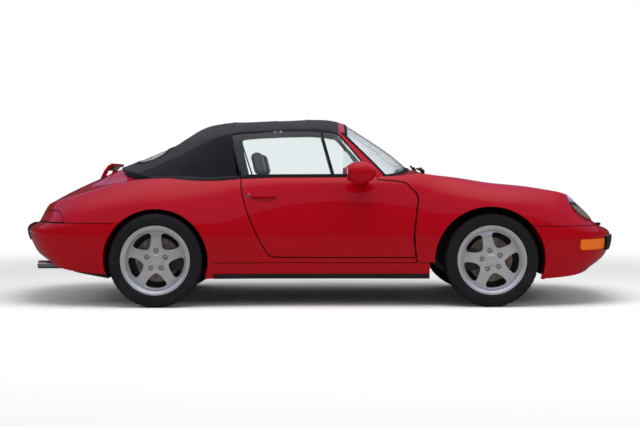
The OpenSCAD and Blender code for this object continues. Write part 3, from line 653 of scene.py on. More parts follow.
PAINT = surface("crimson_paint", (0.27, 0.0006, 0.0045), (0.18, 0.001, 0.004), 0.12, 1.6, 0.2, 900, 0.012,
                0.0004, Coat_Weight=0.8, Coat_Roughness=0.03, Coat_IOR=1.4, Specular_IOR_Level=0.05)
RUBBER = surface("black_rubber", (0.005, 0.005, 0.006), (0.02, 0.02, 0.02), 0.2, 8, 0.6, 500, 0.15,
                 Specular_IOR_Level=0.2)
PLASTIC = surface("black_plastic", (0.008, 0.008, 0.009), (0.03, 0.03, 0.03), 0.2, 8, 0.5, 700, 0.2,
                  Specular_IOR_Level=0.3)
UNDERSEAL = surface("underseal", (0.012, 0.012, 0.013), (0.07, 0.06, 0.05), 0.5, 5, 0.75, 180, 0.5, 0.003)
TYRE = surface("tyre_rubber", (0.007, 0.007, 0.009), (0.03, 0.028, 0.026), 0.25, 9, 0.72, 350, 0.3, 0.0008,
               Specular_IOR_Level=0.25)
ALLOY = surface("silver_lacquer", (0.66, 0.66, 0.67), (0.34, 0.33, 0.32), 0.10, 12, 0.24, 1200, 0.02,
                Metallic=0.7, Coat_Weight=0.6, Coat_Roughness=0.08)
STEEL = surface("plated_steel", (0.62, 0.61, 0.60), (0.25, 0.2, 0.15), 0.4, 20, 0.22, 900, 0.08,
                Metallic=1.0)
IRON = surface("disc_iron", (0.42, 0.38, 0.34), (0.26, 0.15, 0.09), 0.9, 30, 0.42, 900, 0.2, Metallic=0.7,
               high=0.5, low=0.45)
CASTING = surface("dull_casting", (0.32, 0.32, 0.33), (0.1, 0.08, 0.06), 0.5, 12, 0.5, 300, 0.2,
                  Metallic=0.8)
CANVAS = cloth("black_canvas", (0.006, 0.0065, 0.008), (0.022, 0.024, 0.028), 420.0, 0.35)
# A darker copy of the canvas for the top's side panels below the seam: its darker tone is painted shade, its
# weave a little smoother.
SHADED_SIDE_CANVAS = cloth("side_canvas_painted_shade", (0.003, 0.003, 0.0045), (0.007, 0.007, 0.010), 420.0, 0.25)
LEATHER = surface("seat_leather", (0.085, 0.088, 0.098), (0.03, 0.03, 0.03), 0.4, 7, 0.48, 420, 0.35, 0.0008)
CARPET = cloth("black_carpet", (0.02, 0.02, 0.022), (0.05, 0.05, 0.055), 500.0, 0.8)


def glass(name, colour):
    """Clear glass with a faint haze and a colour that varies a little."""
    material = bpy.data.materials.new(name)
    material.use_nodes = True
    tree = material.node_tree
    shader = tree.nodes["Principled BSDF"]
    shader.inputs["Transmission Weight"].default_value = 1.0
    shader.inputs["IOR"].default_value = 1.45
    shader.inputs["Specular IOR Level"].default_value = 0.2
    place = add_node(tree, "ShaderNodeTexCoord")
    smear = add_node(tree, "ShaderNodeTexNoise", [("Vector", place.outputs["Object"])], in_Scale=6.0,
                     in_Detail=5.0)
    haze = add_node(tree, "ShaderNodeMapRange", [("Value", smear.outputs["Fac"])], in_1=0.3, in_2=0.8,
                    in_3=0.0, in_4=0.004)
    tint = add_node(tree, "ShaderNodeMix", [(0, smear.outputs["Fac"])], data_type="RGBA")
    tint.inputs[6].default_value = (*colour, 1)
    tint.inputs[7].default_value = (*(c * 0.97 for c in colour), 1)
    tree.links.new(haze.outputs["Result"], shader.inputs["Roughness"])
    tree.links.new(tint.outputs[2], shader.inputs["Base Color"])
    return material


CLEAR_GLASS = glass("window_glass", (0.93, 0.97, 0.965))
LAMP_GLASS = glass("lamp_glass", (0.95, 0.97, 0.98))


# ---------------------------------------------------------------- body panels
GAP = 5
SHUT = 1.5
BUMPER_TOP = 544
DOOR = [(-534, 892), (-528, 792), (-500, 681), (-446, 542), (-392, 434), (-355, 373), (-335, 350),
        (-300, 340), (0, 338), (700, 338), (700, 832), (585, 838), (520, 853), (430, 857), (402, 861),
        (396, 868), (396, 892)]
SIDE_GLASS = [(-516, 840), (-606, 1150), (-604, 1172), (-560, 1183), (-300, 1199), (-60, 1203), (70, 1190),
              (118, 1178), (140, 1160), (309, 962), (356, 882), (350, 840)]
LID = [(1905, 0), (1898, 200), (1860, 380), (1820, 440), (1700, 462), (1400, 500), (1100, 540), (900, 562),
       (830, 560), (812, 520), (806, 300), (806, 0)]
ENGINE_LID = [(-1478, 0), (-1480, 300), (-1490, 440), (-1530, 500), (-1700, 520), (-1830, 505),
              (-1880, 440), (-1905, 250), (-1912, 0)]
CABIN = [(640, 0), (630, 320), (560, 520), (400, 600), (300, 614), (-960, 614), (-960, 0)]
COWL = [(605, 0), (605, 568), (798, 568), (806, 545), (830, 0)]
HINGE = (585, 735)
PANEL_WALL = 4
HEADLAMP = (1806, 562, 672)
LAMP_RAKE = 43
LAMP_SIDE = [(-FAR, 569), (-1726, 569), (-1738, 596), (-1760, 632), (-1788, 652), (-FAR, 655)]
GRILLE = [(-1690, -300), (-1690, 300), (-1522, 330), (-1522, -330)]
WHEEL_Z = 318


def lid_outline(points, radius):
    """A lid's plan outline, eased at its corners and closed over the middle line."""
    return rounded(two_sided(points[1:-1]), radius)


def hinge_core(grow, side):
    """The door's front edge is turned about the hinge line."""
    edge = [(93, 730), (86, 752), (74, 772), (58, 790), (40, 803), (24, 824)]
    profile = [(0, 300)] + [(93 + grow, 300)] + [(r + grow, z + grow / 2) for r,
                                                 z in edge] + [(0, 838 + grow)]
    return turned(profile, "z", 96, centre=(HINGE[0], side * HINGE[1], 0))


def door_zone(grow, side):
    """A door's outline in side view, grown by a distance, with its front edge turned about the hinge line."""
    y = span(side, 560, 1000)
    outline = rounded(DOOR, 60)
    zone = prism(grown(outline, grow), "y", *y)
    front = copy_of(zone)
    boolean(zone, block(-1000, HINGE[0] + grow, *y, 300, 1000), "INTERSECT")
    boolean(front, hinge_core(grow, side), "INTERSECT")
    return boolean(zone, front, "UNION")


def wheel_arch(x, y, r, stretch):
    """A round hole for a wheel from y outwards, stretched along the car, on both sides."""
    tool = turned([(0, 0), (r, 0), (r, 620), (0, 620)], "y", 96)
    tool.data.transform(shift(x, y, WHEEL_Z) @ scale_along("x", stretch))
    return both(tool)


def front_arch(grow=0):
    return wheel_arch(1157, 420, 362 + grow, 1.035)


def rear_arch(grow=0):
    return wheel_arch(-1102, 495, 346 + grow, 1.02)


def lamp_place():
    """Where a headlamp made round the origin, opening upwards, goes on the left wing."""
    return shift(*HEADLAMP) @ spin(LAMP_RAKE, "Y") @ scale_along("x", 1.28)


def lamp_tool(r):
    """A raked oval bar of a headlamp's outline, on both sides."""
    tool = turned([(0, -60), (r, -60), (r, 240), (0, 240)], "z", 72)
    tool.data.transform(lamp_place())
    return both(tool)


OUTER = closed_skin("outer", FLANK_COLUMNS)
ROOF = closed_skin("roof", CANOPY_COLUMNS, 0, 40)


def panel(keep=(), cut=()):
    """A pressed panel: the part of the outer surface inside the keep tools and outside the cut tools."""
    obj = copy_of(OUTER)
    for tool in keep:
        boolean(obj, tool, "INTERSECT")
    for tool in cut:
        boolean(obj, tool)
    skin_only(obj)
    return soften(thicken(obj, PANEL_WALL), 32)


def finished(obj, name, materials, body, slot, *nodes):
    """Names a piece, gives it its materials and puts it on its body in place of CAD nodes."""
    obj.name = name
    obj.data.name = name
    materials = materials if isinstance(materials, (list, tuple)) else [materials]
    tags = [min(f.material_index, len(materials) - 1) for f in obj.data.polygons]
    obj.data.materials.clear()
    for material in materials:
        obj.data.materials.append(material)
    obj.data.polygons.foreach_set("material_index", tags)
    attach(obj, body)
    if nodes:
        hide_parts(*nodes)
    return obj


def lamp_band(grow):
    """The strip round the tail that the lamps fill."""
    return prism(grown(LAMP_SIDE, grow), "y", -1000, 1000)


def indicator_zone(grow):
    return both(prism(grown(rounded([(1780, 380), (1780, 455), (2002, 455), (2002, 380)], 22), grow), "y",
                      360, 900))


def cabin_panels():
    cut = [boolean(block(655, FAR, -1000, 1000, 303, 1000),
                   prism(two_sided([(x, y - 2) for x, y in COWL]), "z", 250, 1100)),
           block(748, FAR, -1000, 1000, 0, 400), prism(two_sided(CABIN), "z", 700, 1400),
           prism(grown(lid_outline(ENGINE_LID, 40), GAP + SHUT), "z", 400, 1400),
           block(-FAR, -1395, -1000, 1000, 0, 570), lamp_band(0), both(door_zone(GAP + SHUT, 1)),
           front_arch(), rear_arch(), both(block(-720, 748, 700, 1000, 297.5, 303))]
    return finished(panel(cut=cut), "cabin_panels", PAINT, "chassis", "paint", "body_shell", "rear_quarters")


def front_wings():
    for side, name in SIDES:
        keep = [block(655.4, FAR, *span(side, 0, 1000), 303, 1000)]
        cut = [prism(grown(lid_outline(LID, 40), GAP), "z", 300, 1400),
               prism(two_sided(COWL), "z", 200, 1400), block(1300, FAR, -2000, 2000, 0, BUMPER_TOP + 5),
               block(1850, FAR, -482, 482, 0, 1000), front_arch(), hinge_core(GAP + SHUT + 1, side),
               lamp_tool(101)]
        finished(panel(keep, cut), f"front_wing_{name}", PAINT, "chassis", "paint", f"front_fender_{name}")


def bumpers():
    nose = [fused(block(1300, FAR, -1000, 1000, 0, BUMPER_TOP), block(1850, FAR, -479, 479, 500, 1000))]
    cut = [prism(grown(lid_outline(LID, 40), GAP), "z", 300, 1400), front_arch(), lamp_tool(101),
           indicator_zone(1), block(1900, FAR, -300, 300, 300, 372),
           both(block(1100, 1565, 380, 730, 0, 420))]
    finished(panel(nose, cut), "nose_cover", PAINT, "chassis", "paint", "front_bumper")
    tail = [block(-FAR, -1395, -1000, 1000, 0, 565)]
    cut = [both(block(-FAR, -1700, 500, 620, 0, 308)), rear_arch()]
    finished(panel(tail, cut), "tail_cover", PAINT, "chassis", "paint", "rear_bumper")


def lids():
    lid = panel([prism(lid_outline(LID, 40), "z", 300, 1400)])
    finished(lid, "luggage_lid", PAINT, "front_lid", "paint", "front_lid")
    lid = panel([prism(lid_outline(ENGINE_LID, 40), "z", 400, 1400)], [prism(GRILLE, "z", 700, 1400)])
    finished(lid, "engine_cover", PAINT, "engine_lid", "paint", "engine_lid")


def grip_hollow(side, size=1.0):
    """The shallow dish behind the door handle."""
    tool = turned([(0, -30 * size), (16 * size, -28 * size), (30 * size, -20 * size), (36 * size, 0),
                   (30 * size, 20 * size), (0, 20 * size)], "y", 40)
    tool.data.transform(shift(-374, side * 792, 741) @ scale_along("x", 2.1)
                        @ scale_along("y", side))
    face_outwards(tool)
    return tool


def doors():
    for side, name in SIDES:
        finished(panel([door_zone(-SHUT, side)], [grip_hollow(side)]), f"door_skin_{name}", PAINT,
                 f"door_{name}", "paint")


cabin_panels()
front_wings()
bumpers()
lids()
doors()


# ---------------------------------------------------------------- wheels
# Each axle's x, its wheels' y, and its tyres' width
AXLES = {"front": (1169.5, 702.5, 205), "rear": (-1102.5, 722, 255)}
SPOKES = 5
SPOKE_PITCH = 360 / SPOKES
BOLT_RING = 65


def wheel_place(obj, side, axle):
    """Moves a piece made round the origin, outer face towards +Y, to its wheel."""
    x, y, _ = AXLES[axle]
    if side < 0:
        obj.data.transform(scale_along("y", -1))
        obj.data.flip_normals()
    obj.data.transform(shift(x, side * y, WHEEL_Z))
    return obj


def polar(r, degrees, y=0):
    """A point on a wheel's face, its angle taken from the top towards the front."""
    return (r * math.sin(math.radians(degrees)), y, r * math.cos(math.radians(degrees)))


def tyre(width):
    """Tyre with a raised rim guard, ribbed sidewall and blocked tread."""
    h, f = width / 2, width / 2 - 18.3
    side = [(216, f), (237, f + 1), (241, h - 8), (247, h - 3), (256, h - 1.5), (258, h - 3),
            (263, h - 2.4), (276, h), (288, h - 1.2), (290, h - 2.8), (293, h - 2.8), (295, h - 3.6),
            (304, h - 8), (312, h - 17)]
    grooves = []
    for middle in (-0.36, -0.12, 0.12, 0.36):
        y = middle * (width - 40)
        grooves += [(317.5, y - 5), (310.5, y - 3.5), (310.5, y + 3.5), (317.5, y + 5)]
    profile = side + [(316.5, h - 26)] + grooves[::-1] + [(316.5, -h + 26)] + [(r, -y) for r,
                                                                               y in reversed(side)]
    steps = 288
    obj = turned(profile, "y", steps, 0)
    for v in obj.data.vertices:
        r = math.hypot(v.co.x, v.co.z)
        k = round(math.atan2(v.co.x, v.co.z) / math.tau * steps) + (2 if v.co.y > 0 else 0)
        edge = abs(v.co.y) > (h - 30) * MM and r > 311 * MM
        if (r > 316 * MM or edge) and k % 6 == 0:
            shrink = 1 - (5.0 if r > 316 * MM else 3.0) * MM / r
            v.co.x *= shrink
            v.co.z *= shrink
    return soften(obj, 28)


def wheel_window():
    """The rounded opening between two spokes, drawn across a wheel whose spokes stand at 0 and 72 degrees."""
    half = [(88, 0), (98, 11), (122, 19), (152, 23.5), (176, 24.5), (189, 20), (192, 9)]
    middle = SPOKE_PITCH / 2
    points = [polar(r, middle - a) for r, a in half] + [polar(r, middle + a) for r, a in reversed(half[1:])]
    return rounded([(p[0], p[2]) for p in points], 40, 5)


def rim(width, dish):
    """Cast five-spoke wheel: stepped flange, barrel, crowned spokes with bolt pockets."""
    h = width / 2 - 10
    face = h - dish
    barrel = turned([(204, -h + 1), (208, -h), (235.5, -h), (235.5, -h + 8), (215.7, -h + 8),
                     (215.7, h - 8), (235.5, h - 8), (235.5, h - 1), (233.5, h + 0.5), (224, h + 0.5),
                     (221.5, h - 1), (220, h - 4), (212, h - 9), (209, h - 12), (205, h - 24),
                     (204, face - 34)], "y", 144, 0)
    crown = [(0, face - 5), (44, face - 4.5), (62, face - 3.5), (78, face - 3), (92, face - 5),
             (110, face - 6), (140, face - 5), (168, face - 5), (188, face - 10), (198, face - 16),
             (206, face - 20)]
    back = [(206, face - 40), (180, face - 32), (140, face - 26), (110, face - 26), (80, face - 34),
            (78, 32), (74, 15), (0, 15)]
    disc = turned(crown + back, "y", 180, 0)
    window = wheel_window()
    for k in range(SPOKES):
        tool = prism(window, "y", -60, 160, 0)
        tool.data.transform(spin(SPOKE_PITCH * k, "Y"))
        boolean(disc, tool)
    for k in range(SPOKES):
        x, _, z = polar(BOLT_RING, SPOKE_PITCH * k)
        pocket = turned([(0, face - 26), (18, face - 26), (18.5, face - 6), (20, face + 8), (0, face + 8)],
                        "y", 40, 1)
        pocket.data.transform(shift(x, 0, z))
        boolean(disc, pocket)
    round_edges(disc, 9, 4, 50)
    centres = [polar(BOLT_RING, SPOKE_PITCH * k) for k in range(SPOKES)]
    # The bolt pockets' walls and floors get the wheel's black second material: painted shade in the recesses.
    for f in disc.data.polygons:
        x, y, z = f.center / MM
        f.material_index = int(y < face - 4 and any(math.hypot(x - c[0], z - c[2]) < 19 for c in centres))
    soften(disc, 30)
    soften(barrel, 30)
    return join(disc, barrel)


def wheel_hardware(face):
    """Centre cap, five ball-seat bolts and the valve."""
    cap = turned([(0, face + 1), (20, face + 0.6), (33, face - 1), (37, face - 3.4), (39, face - 6),
                  (0, face - 6)], "y", 64, 0)
    step = turned([(30, face + 0.2), (28.6, face + 0.2), (28.6, face + 4), (30, face + 4)], "y", 64, 0)
    boolean(cap, step)
    pieces = [soften(cap, 25)]
    for k in range(SPOKES):
        x, _, z = polar(BOLT_RING, SPOKE_PITCH * k)
        bolt = turned([(0, face - 11), (5, face - 11), (6, face - 12), (8.5, face - 14), (8.5, face - 26),
                       (0, face - 26)], "y", 6, 1)
        bolt.data.transform(shift(x, 0, z))
        pieces.append(round_edges(bolt, 0.8, 2, 30))
    valve = tube("valve", [polar(201, 196, face + 2), polar(196, 196, face + 14),
                           polar(190, 196, face + 24)], 3.4)
    for f in valve.data.polygons:
        f.material_index = 1
    return join(*pieces, valve)


def drilled_disc():
    """Vented brake disc: two plates, cooling holes and a hat."""
    profile = [(0, -36), (80, -36), (81, -34), (152, -34), (152, -25), (128, -25), (128, -19), (152, -19),
               (152, -10), (90, -10), (86, 12), (84, 14.7), (0, 14.7)]
    disc = turned(profile, "y", 96, 0)
    holes = []
    for k in range(16):
        for row, r in enumerate((102, 116, 130, 143)):
            x, _, z = polar(r, 22.5 * k + 7 * row)
            hole = turned([(0, -40), (3.4, -40), (3.4, 0), (0, 0)], "y", 10, 0)
            hole.data.transform(shift(x, 0, z))
            holes.append(hole)
    boolean(disc, join(*holes))
    return soften(disc, 30)


def wheels():
    for axle, (_, _, width) in AXLES.items():
        dish = 26 if axle == "front" else 50
        face = width / 2 - 10 - dish
        patterns = {"tyre": (tyre(width), TYRE, "tyre"),
                    # On the rim the black second material is painted shade in the bolt pockets; on the
                    # hardware it is the bolts and valve.
                    "rim": (rim(width, dish), [ALLOY, PLASTIC], "alloy"),
                    "hardware": (wheel_hardware(face), [ALLOY, PLASTIC], "alloy"),
                    "disc": (drilled_disc(), IRON, "iron")}
        for kind, (pattern, material, slot) in patterns.items():
            pattern.data.transform(spin(-11 if axle == "front" else 0, "Y"))
            for side, name in SIDES:
                obj = wheel_place(copy_of(pattern), side, axle)
                corner = f"{axle}_{name}"
                nodes = [] if kind == "hardware" else [f"{kind}_{corner}"]
                finished(obj, f"{kind}_{corner}_finish", material, f"wheel_{corner}", slot, *nodes)
            bpy.data.objects.remove(pattern, do_unlink=True)
        for side, name in SIDES:
            shield = turned([(64, -46), (190, -46), (196, -41), (196, -39), (189, -44), (64, -44)], "y", 96,
                            0)
            finished(wheel_place(soften(shield), side, axle), f"brake_shield_{axle}_{name}", UNDERSEAL,
                     f"knuckle_{name}" if axle == "front" else "chassis", "underbody")


wheels()


# ---------------------------------------------------------------- inner structure
def skins(name, columns, *insets, skirt=60):
    """Closed solids of one surface set in or out by several distances, kept as tools."""
    return {t: closed_skin(f"{name}_{t}", columns, t, skirt) for t in insets}


BODY_AT = {0: OUTER, **skins("body_at", FLANK_COLUMNS, -14, -3, 4, 7, 9, 24, 28)}
ROOF_AT = {0: ROOF, **skins("roof_at", CANOPY_COLUMNS, -9, -3, 1, 4, 6, 11, 24)}
PILLAR = [(385, 850), (318, 962), (143, 1172), (100, 1200), (100, 1330), (186, 1330), (186, 1190),
          (162, 1190), (390, 962), (478, 868)]
HINGE_LEVELS = (430, 640)


def layer(zone, solids, low, high, *cut):
    """The part of a zone that lies between two depths of a surface."""
    boolean(zone, solids[low], "INTERSECT", keep=True)
    if high is not None:
        boolean(zone, solids[high], keep=True)
    for tool in cut:
        boolean(zone, tool)
    return zone


def rim_zone(points, axis, inner, outer, low, high):
    """A frame-shaped zone along an outline."""
    return boolean(prism(grown(points, outer), axis, low, high),
                   prism(grown(points, inner), axis, low - 5, high + 5))


def above_deck(height):
    """What lies within a height above the wings, doors and deck."""
    band = copy_of(OUTER)
    band.data.transform(shift(0, 0, height))
    return boolean(band, OUTER, keep=True)


def hinge_arms():
    arms = []
    for z in HINGE_LEVELS:
        pin = turned([(0, z), (16, z), (16, z + 30), (0, z + 30)], "z", 32, centre=(*HINGE, 0))
        arms.append(fused(pin, block(577, 593, 640, 735, z, z + 30), block(577, 668, 640, 656, z, z + 30)))
    return both(join(*arms))


def structure():
    """Sills, posts and bulkheads behind the outer panels."""
    frame = fused(both(block(-760, 655, 600, 900, 195, 336)), both(block(-640, -548, 615, 900, 200, 850)),
                  block(-980, -962, -700, 700, 228, 1000), both(block(600, 742, 600, 900, 200, 302)),
                  both(block(664, 742, 600, 900, 200, 850)), block(724, 742, -700, 700, 228, 1000))
    boolean(frame, BODY_AT[7], "INTERSECT", keep=True)
    for tool in (both(door_zone(GAP + 2, 1)), both(block(640, 655, 700, 1000, 342, 640)), front_arch(),
                 rear_arch(), both(block(-320, 650, 500, 1000, 336, 420))):
        boolean(frame, tool)
    finished(soften(join(frame, hinge_arms())), "cabin_frame", PAINT, "chassis", "paint")
    liners = fused(layer(boolean(front_arch(12), front_arch(2)), BODY_AT, 7, None,
                         both(block(0, 1169, 0, 2000, 0, 303)), block(1169, FAR, -2000, 2000, 0, 215)),
                   layer(boolean(rear_arch(12), rear_arch(2)), BODY_AT, 7, None,
                         both(block(-FAR, 0, 0, 2000, 0, 235))),
                   both(block(-1500, -700, 480, 495, 240, 700)), both(block(560, 744, 575, 590, 300, 830)),
                   both(block(860, 1480, 424, 434, 300, 730)))
    boolean(liners, both(block(-1160, -1040, 400, 620, 500, 760)))
    boolean(liners, both(block(-1150, -1060, 400, 520, 200, 350)))
    boolean(liners, block(1090, 1250, -440, 440, 200, 560))
    finished(soften(liners, 40), "wheel_liners", UNDERSEAL, "chassis", "underbody")
    returns = join(layer(boolean(front_arch(5), front_arch(0.5)), BODY_AT, 4, 24,
                         both(block(0, 1169, 0, 2000, 0, 306)), block(1169, FAR, -2000, 2000, 0, 200)),
                   layer(boolean(rear_arch(5), rear_arch(0.5)), BODY_AT, 4, 24,
                         both(block(-FAR, 0, 0, 2000, 0, 205))))
    finished(soften(returns), "arch_returns", PAINT, "chassis", "paint")
    seals_and_shade_strips = both(layer(boolean(door_zone(16, 1), door_zone(1, 1)), BODY_AT, 9, 24,
                         block(-FAR, FAR, 0, 1000, 866, 1000)))
    boolean(seals_and_shade_strips, front_arch())
    lid = lid_outline(LID, 40)
    cover = lid_outline(ENGINE_LID, 40)
    for outline in (lid, cover):
        seals_and_shade_strips = join(seals_and_shade_strips, layer(rim_zone(outline, "z", 1, 18, 400, 1400), BODY_AT, 9, 24))
    boolean(seals_and_shade_strips, lamp_tool(101))
    # The black strips behind the nose, tail and sill split lines are painted shade: a dark sheet standing in
    # for the shade inside those gaps.
    nose_split_shade_strip = layer(block(1300, FAR, -1000, 1000, 536, 558), BODY_AT, 4, 24, front_arch(), lamp_tool(101),
                       prism(lid, "z", 300, 1400))
    tail_split_shade_strip = layer(block(-FAR, -1395, -1000, 1000, 556, 568), BODY_AT, 4, 24, rear_arch(),
                       prism(cover, "z", 300, 1400))
    sill_split_shade_strips = both(layer(block(-712, 742, 600, 1000, 291, 310), BODY_AT, 4, 7, front_arch(),
                             rear_arch()))
    # The door and lid seals are joined with these painted-shade strips.
    seals_and_shade_strips = join(seals_and_shade_strips, nose_split_shade_strip, tail_split_shade_strip, sill_split_shade_strips)
    finished(soften(seals_and_shade_strips), "panel_seals_and_shade_strips", RUBBER, "chassis", "trim_black")


def windscreen_parts():
    """The painted frame, the pane, and the seal round its edge and along its foot."""
    frame = fused(both(prism(PILLAR, "y", 300, 1000)), block(100, 186, -480, 480, 1150, 1400))
    layer(frame, ROOF_AT, 0, 24)
    boolean(frame, block(0, 137, -1000, 1000, 1190, 1400))
    finished(soften(frame), "windscreen_frame", PAINT, "chassis", "paint")
    pane = layer(block(186.5, FAR, -1000, 1000, 850, 2000), ROOF_AT, 1, 6)
    boolean(pane, both(prism(grown(PILLAR, 0.5), "y", 300, 1000)))
    boolean(pane, OUTER, keep=True)
    finished(soften(pane), "windscreen_glass", CLEAR_GLASS, "chassis", "glass", "windscreen")
    seal = fused(both(rim_zone(PILLAR, "y", -5, 7, 300, 1000)), block(181, 197, -480, 480, 1150, 1400))
    boolean(seal, block(-FAR, 108, -1000, 1000, 0, 2000))
    layer(seal, ROOF_AT, -3, 11)
    boolean(seal, OUTER, keep=True)
    foot = layer(above_deck(11), ROOF_AT, -9, 6, block(-FAR, 440, -1000, 1000, 0, 2000))
    finished(soften(fused(seal, foot)), "windscreen_seal", RUBBER, "chassis", "trim_black")


def side_windows():
    """Wind-up glass, its divider and its belt seal, on each door."""
    for side, name in SIDES:
        y = span(side, 300, 1000)
        pane = layer(prism(SIDE_GLASS, "y", *y), ROOF_AT, 0, 4)
        boolean(pane, OUTER, keep=True)
        finished(soften(pane), f"side_glass_{name}", CLEAR_GLASS, f"door_{name}", "glass",
                 f"door_glass_{name}")
        bar = [(6, 1200), (20, 1200), (116, 860), (102, 860)]
        strip = layer(prism(bar, "y", *y), ROOF_AT, -3, 6)
        boolean(strip, OUTER, keep=True)
        boolean(strip, rim_zone(SIDE_GLASS, "y", 0, 200, *y))
        belt = layer(above_deck(22), ROOF_AT, -9, 4, block(-FAR, -520, -1000, 1000, 0, 2000),
                     block(385, FAR, -1000, 1000, 0, 2000))
        boolean(belt, block(-FAR, FAR, *span(-side, 0, 1000), 0, 2000))
        finished(soften(fused(strip, belt)), f"side_glass_trim_{name}", RUBBER, f"door_{name}", "trim_black")


structure()
windscreen_parts()
side_windows()


# ---------------------------------------------------------------- soft top
def tree_of(obj):
    return BVHTree.FromPolygons([v.co.copy() for v in obj.data.vertices],
                                [tuple(p.vertices) for p in obj.data.polygons])


SURFACE = {"body": tree_of(OUTER), "roof": tree_of(ROOF)}


def cast(surface_name, point, direction):
    """Where a ray in millimetres meets a surface, with the outward normal there."""
    hit, normal, _, _ = SURFACE[surface_name].ray_cast(Vector(point) * MM, Vector(direction))
    return np.array(hit) / MM, np.array(normal)


def traced(points, lift, steps, start, way):
    """Follows a line over the roof and lifts it off; start puts a point outside, way leads back."""
    line = []
    for a, b in zip(points, points[1:]):
        for k in range(steps):
            line.append([u + (v - u) * k / steps for u, v in zip(a, b)])
    out = []
    for p in line + [points[-1]]:
        hit, normal = cast("roof", start(*p), way)
        out.append(tuple(hit + normal * lift))
    return out


def on_side(points, lift, steps):
    """A line drawn in side view, on the roof's left side."""
    return traced(points, lift, steps, lambda x, z: (x, 1500, z), (0, -1, 0))


def on_top(points, lift, steps):
    """A line drawn in plan."""
    return traced(points, lift, steps, lambda x, y: (x, y, 2000), (0, 0, -1))


BOWS = (-80, -330, -620, -900)
SIDE_SEAM = [(-1225, 912), (-1110, 968), (-983, 1027), (-870, 1083), (-747, 1139), (-680, 1168),
             (-618, 1181), (-560, 1193), (-300, 1210), (-60, 1216), (60, 1206), (98, 1201)]
REAR_LIGHT = [(-1085, 0), (-1085, 300), (-1105, 352), (-1170, 400), (-1262, 380), (-1300, 330),
              (-1325, 180), (-1330, 0)]


def tension(p):
    """How far the canvas stands out: over its bows, between them, and in soft folds at the corners."""
    x, y, z = p
    roof = smooth(1090, 1190, z) * smooth(-1060, -940, x)
    crown = sum(math.exp(-((x - b) / 26) ** 2) for b in BOWS)
    sag = math.sin(math.pi * min(1, max(0, (x + 900) / 820)) * 3) ** 2
    rear = smooth(-640, -900, x)
    folds = 1.6 * math.sin(0.021 * x + 0.035 * z + 0.01 * y) + 1.1 * math.sin(0.05 * z - 0.017 * x + 1.3)
    return roof * (1.8 * crown - 1.2 * sag) + rear * folds * smooth(0, 200, abs(y)) * 0.6


def stretched(column, base):
    """A column of the canvas, set in by base less its stretch, and its plan direction."""
    return moved_column(column, lambda p: base - tension(p)), column[1]


def canvas():
    columns = [canopy_column(k / 16, 12, 30) for k in range(13 * 16 + 1)]
    outer, inner = (closed_skin(f"canvas_{t}", [stretched(c, t) for c in columns], 0, s) for t,
                    s in ((-1, 40), (4, 90)))
    boolean(outer, inner)
    boolean(outer, fused(block(-FAR, 104, -1000, 1000, 800, 2000), block(90, 138, -1000, 1000, 1192, 2000)),
            "INTERSECT")
    opening = rounded(SIDE_GLASS[1:-2] + [(366, 700), (-516, 700)], 26)
    for tool in (both(prism(grown(opening, 9), "y", 300, 1150)),
                 both(prism([(90, 700), (90, 1150), (400, 1150), (400, 700)], "y", 300, 1150)),
                 prism(rounded(two_sided(REAR_LIGHT[1:-1]), 30), "z", 900, 1400),
                 both(prism(grown(DOOR, GAP + 1), "y", 300, 1150))):
        boolean(outer, tool)
    boolean(outer, BODY_AT[-3], keep=True)
    seam_x, seam_z = zip(*SIDE_SEAM)
    # Faces below the side seam towards the back take the darker canvas copy, painted shade on the side
    # panels.
    for face in outer.data.polygons:
        x, _, z = face.center / MM
        face.material_index = int(x < -540 and z < np.interp(x, seam_x, seam_z))
    return finished(soften(outer, 50), "soft_top_canvas", [CANVAS, SHADED_SIDE_CANVAS], "chassis", "top_fabric",
                    "soft_top")


def canvas_trim():
    seams = [both(tube("seam", on_side(SIDE_SEAM, 1.5, 8), 2.6))]
    for x, half in ((-80, 470), (-620, 470)):
        seams.append(tube("seam", on_top([(x, -half), (x, half)], 4, 40), 1.8))
    window = rounded(two_sided(REAR_LIGHT[1:-1]), 30)
    hem = [tuple(p) for p in grown(window, 26)]
    seams.append(tube("seam", on_top(hem + hem[:1], 1.4, 2)[:-1], 1.8, True))
    finished(join(*seams), "soft_top_seams", CANVAS, "chassis", "top_fabric")
    pane = layer(prism(grown(window, 4), "z", 900, 1400), ROOF_AT, 1, 4)
    finished(soften(pane), "rear_window_pane", CLEAR_GLASS, "chassis", "glass", "rear_window")
    edge = layer(rim_zone(window, "z", -12, 7, 900, 1400), ROOF_AT, -3, 6)
    finished(soften(edge), "rear_window_edge", RUBBER, "chassis", "trim_black")
    frame = both(layer(rim_zone(SIDE_GLASS, "y", 2, 13, 300, 1000), ROOF_AT, -3, 11,
                       block(-FAR, FAR, 0, 1000, 700, 884), block(99, FAR, 0, 1000, 800, 2000)))
    finished(soften(frame), "side_glass_seals", RUBBER, "chassis", "trim_black")
    foot = layer(above_deck(14), ROOF_AT, -9, 4, block(-548, FAR, -1000, 1000, 0, 2000))
    finished(soften(foot), "soft_top_rail", PLASTIC, "chassis", "trim_black")


CANVAS_TOP = canvas()
canvas_trim()


# ---------------------------------------------------------------- doors, mirrors and handles
DOOR_BACK = [(700, 300), (706, 520), (666, 790), (620, 870), (614, 1000), (1000, 1000), (1000, 300)]


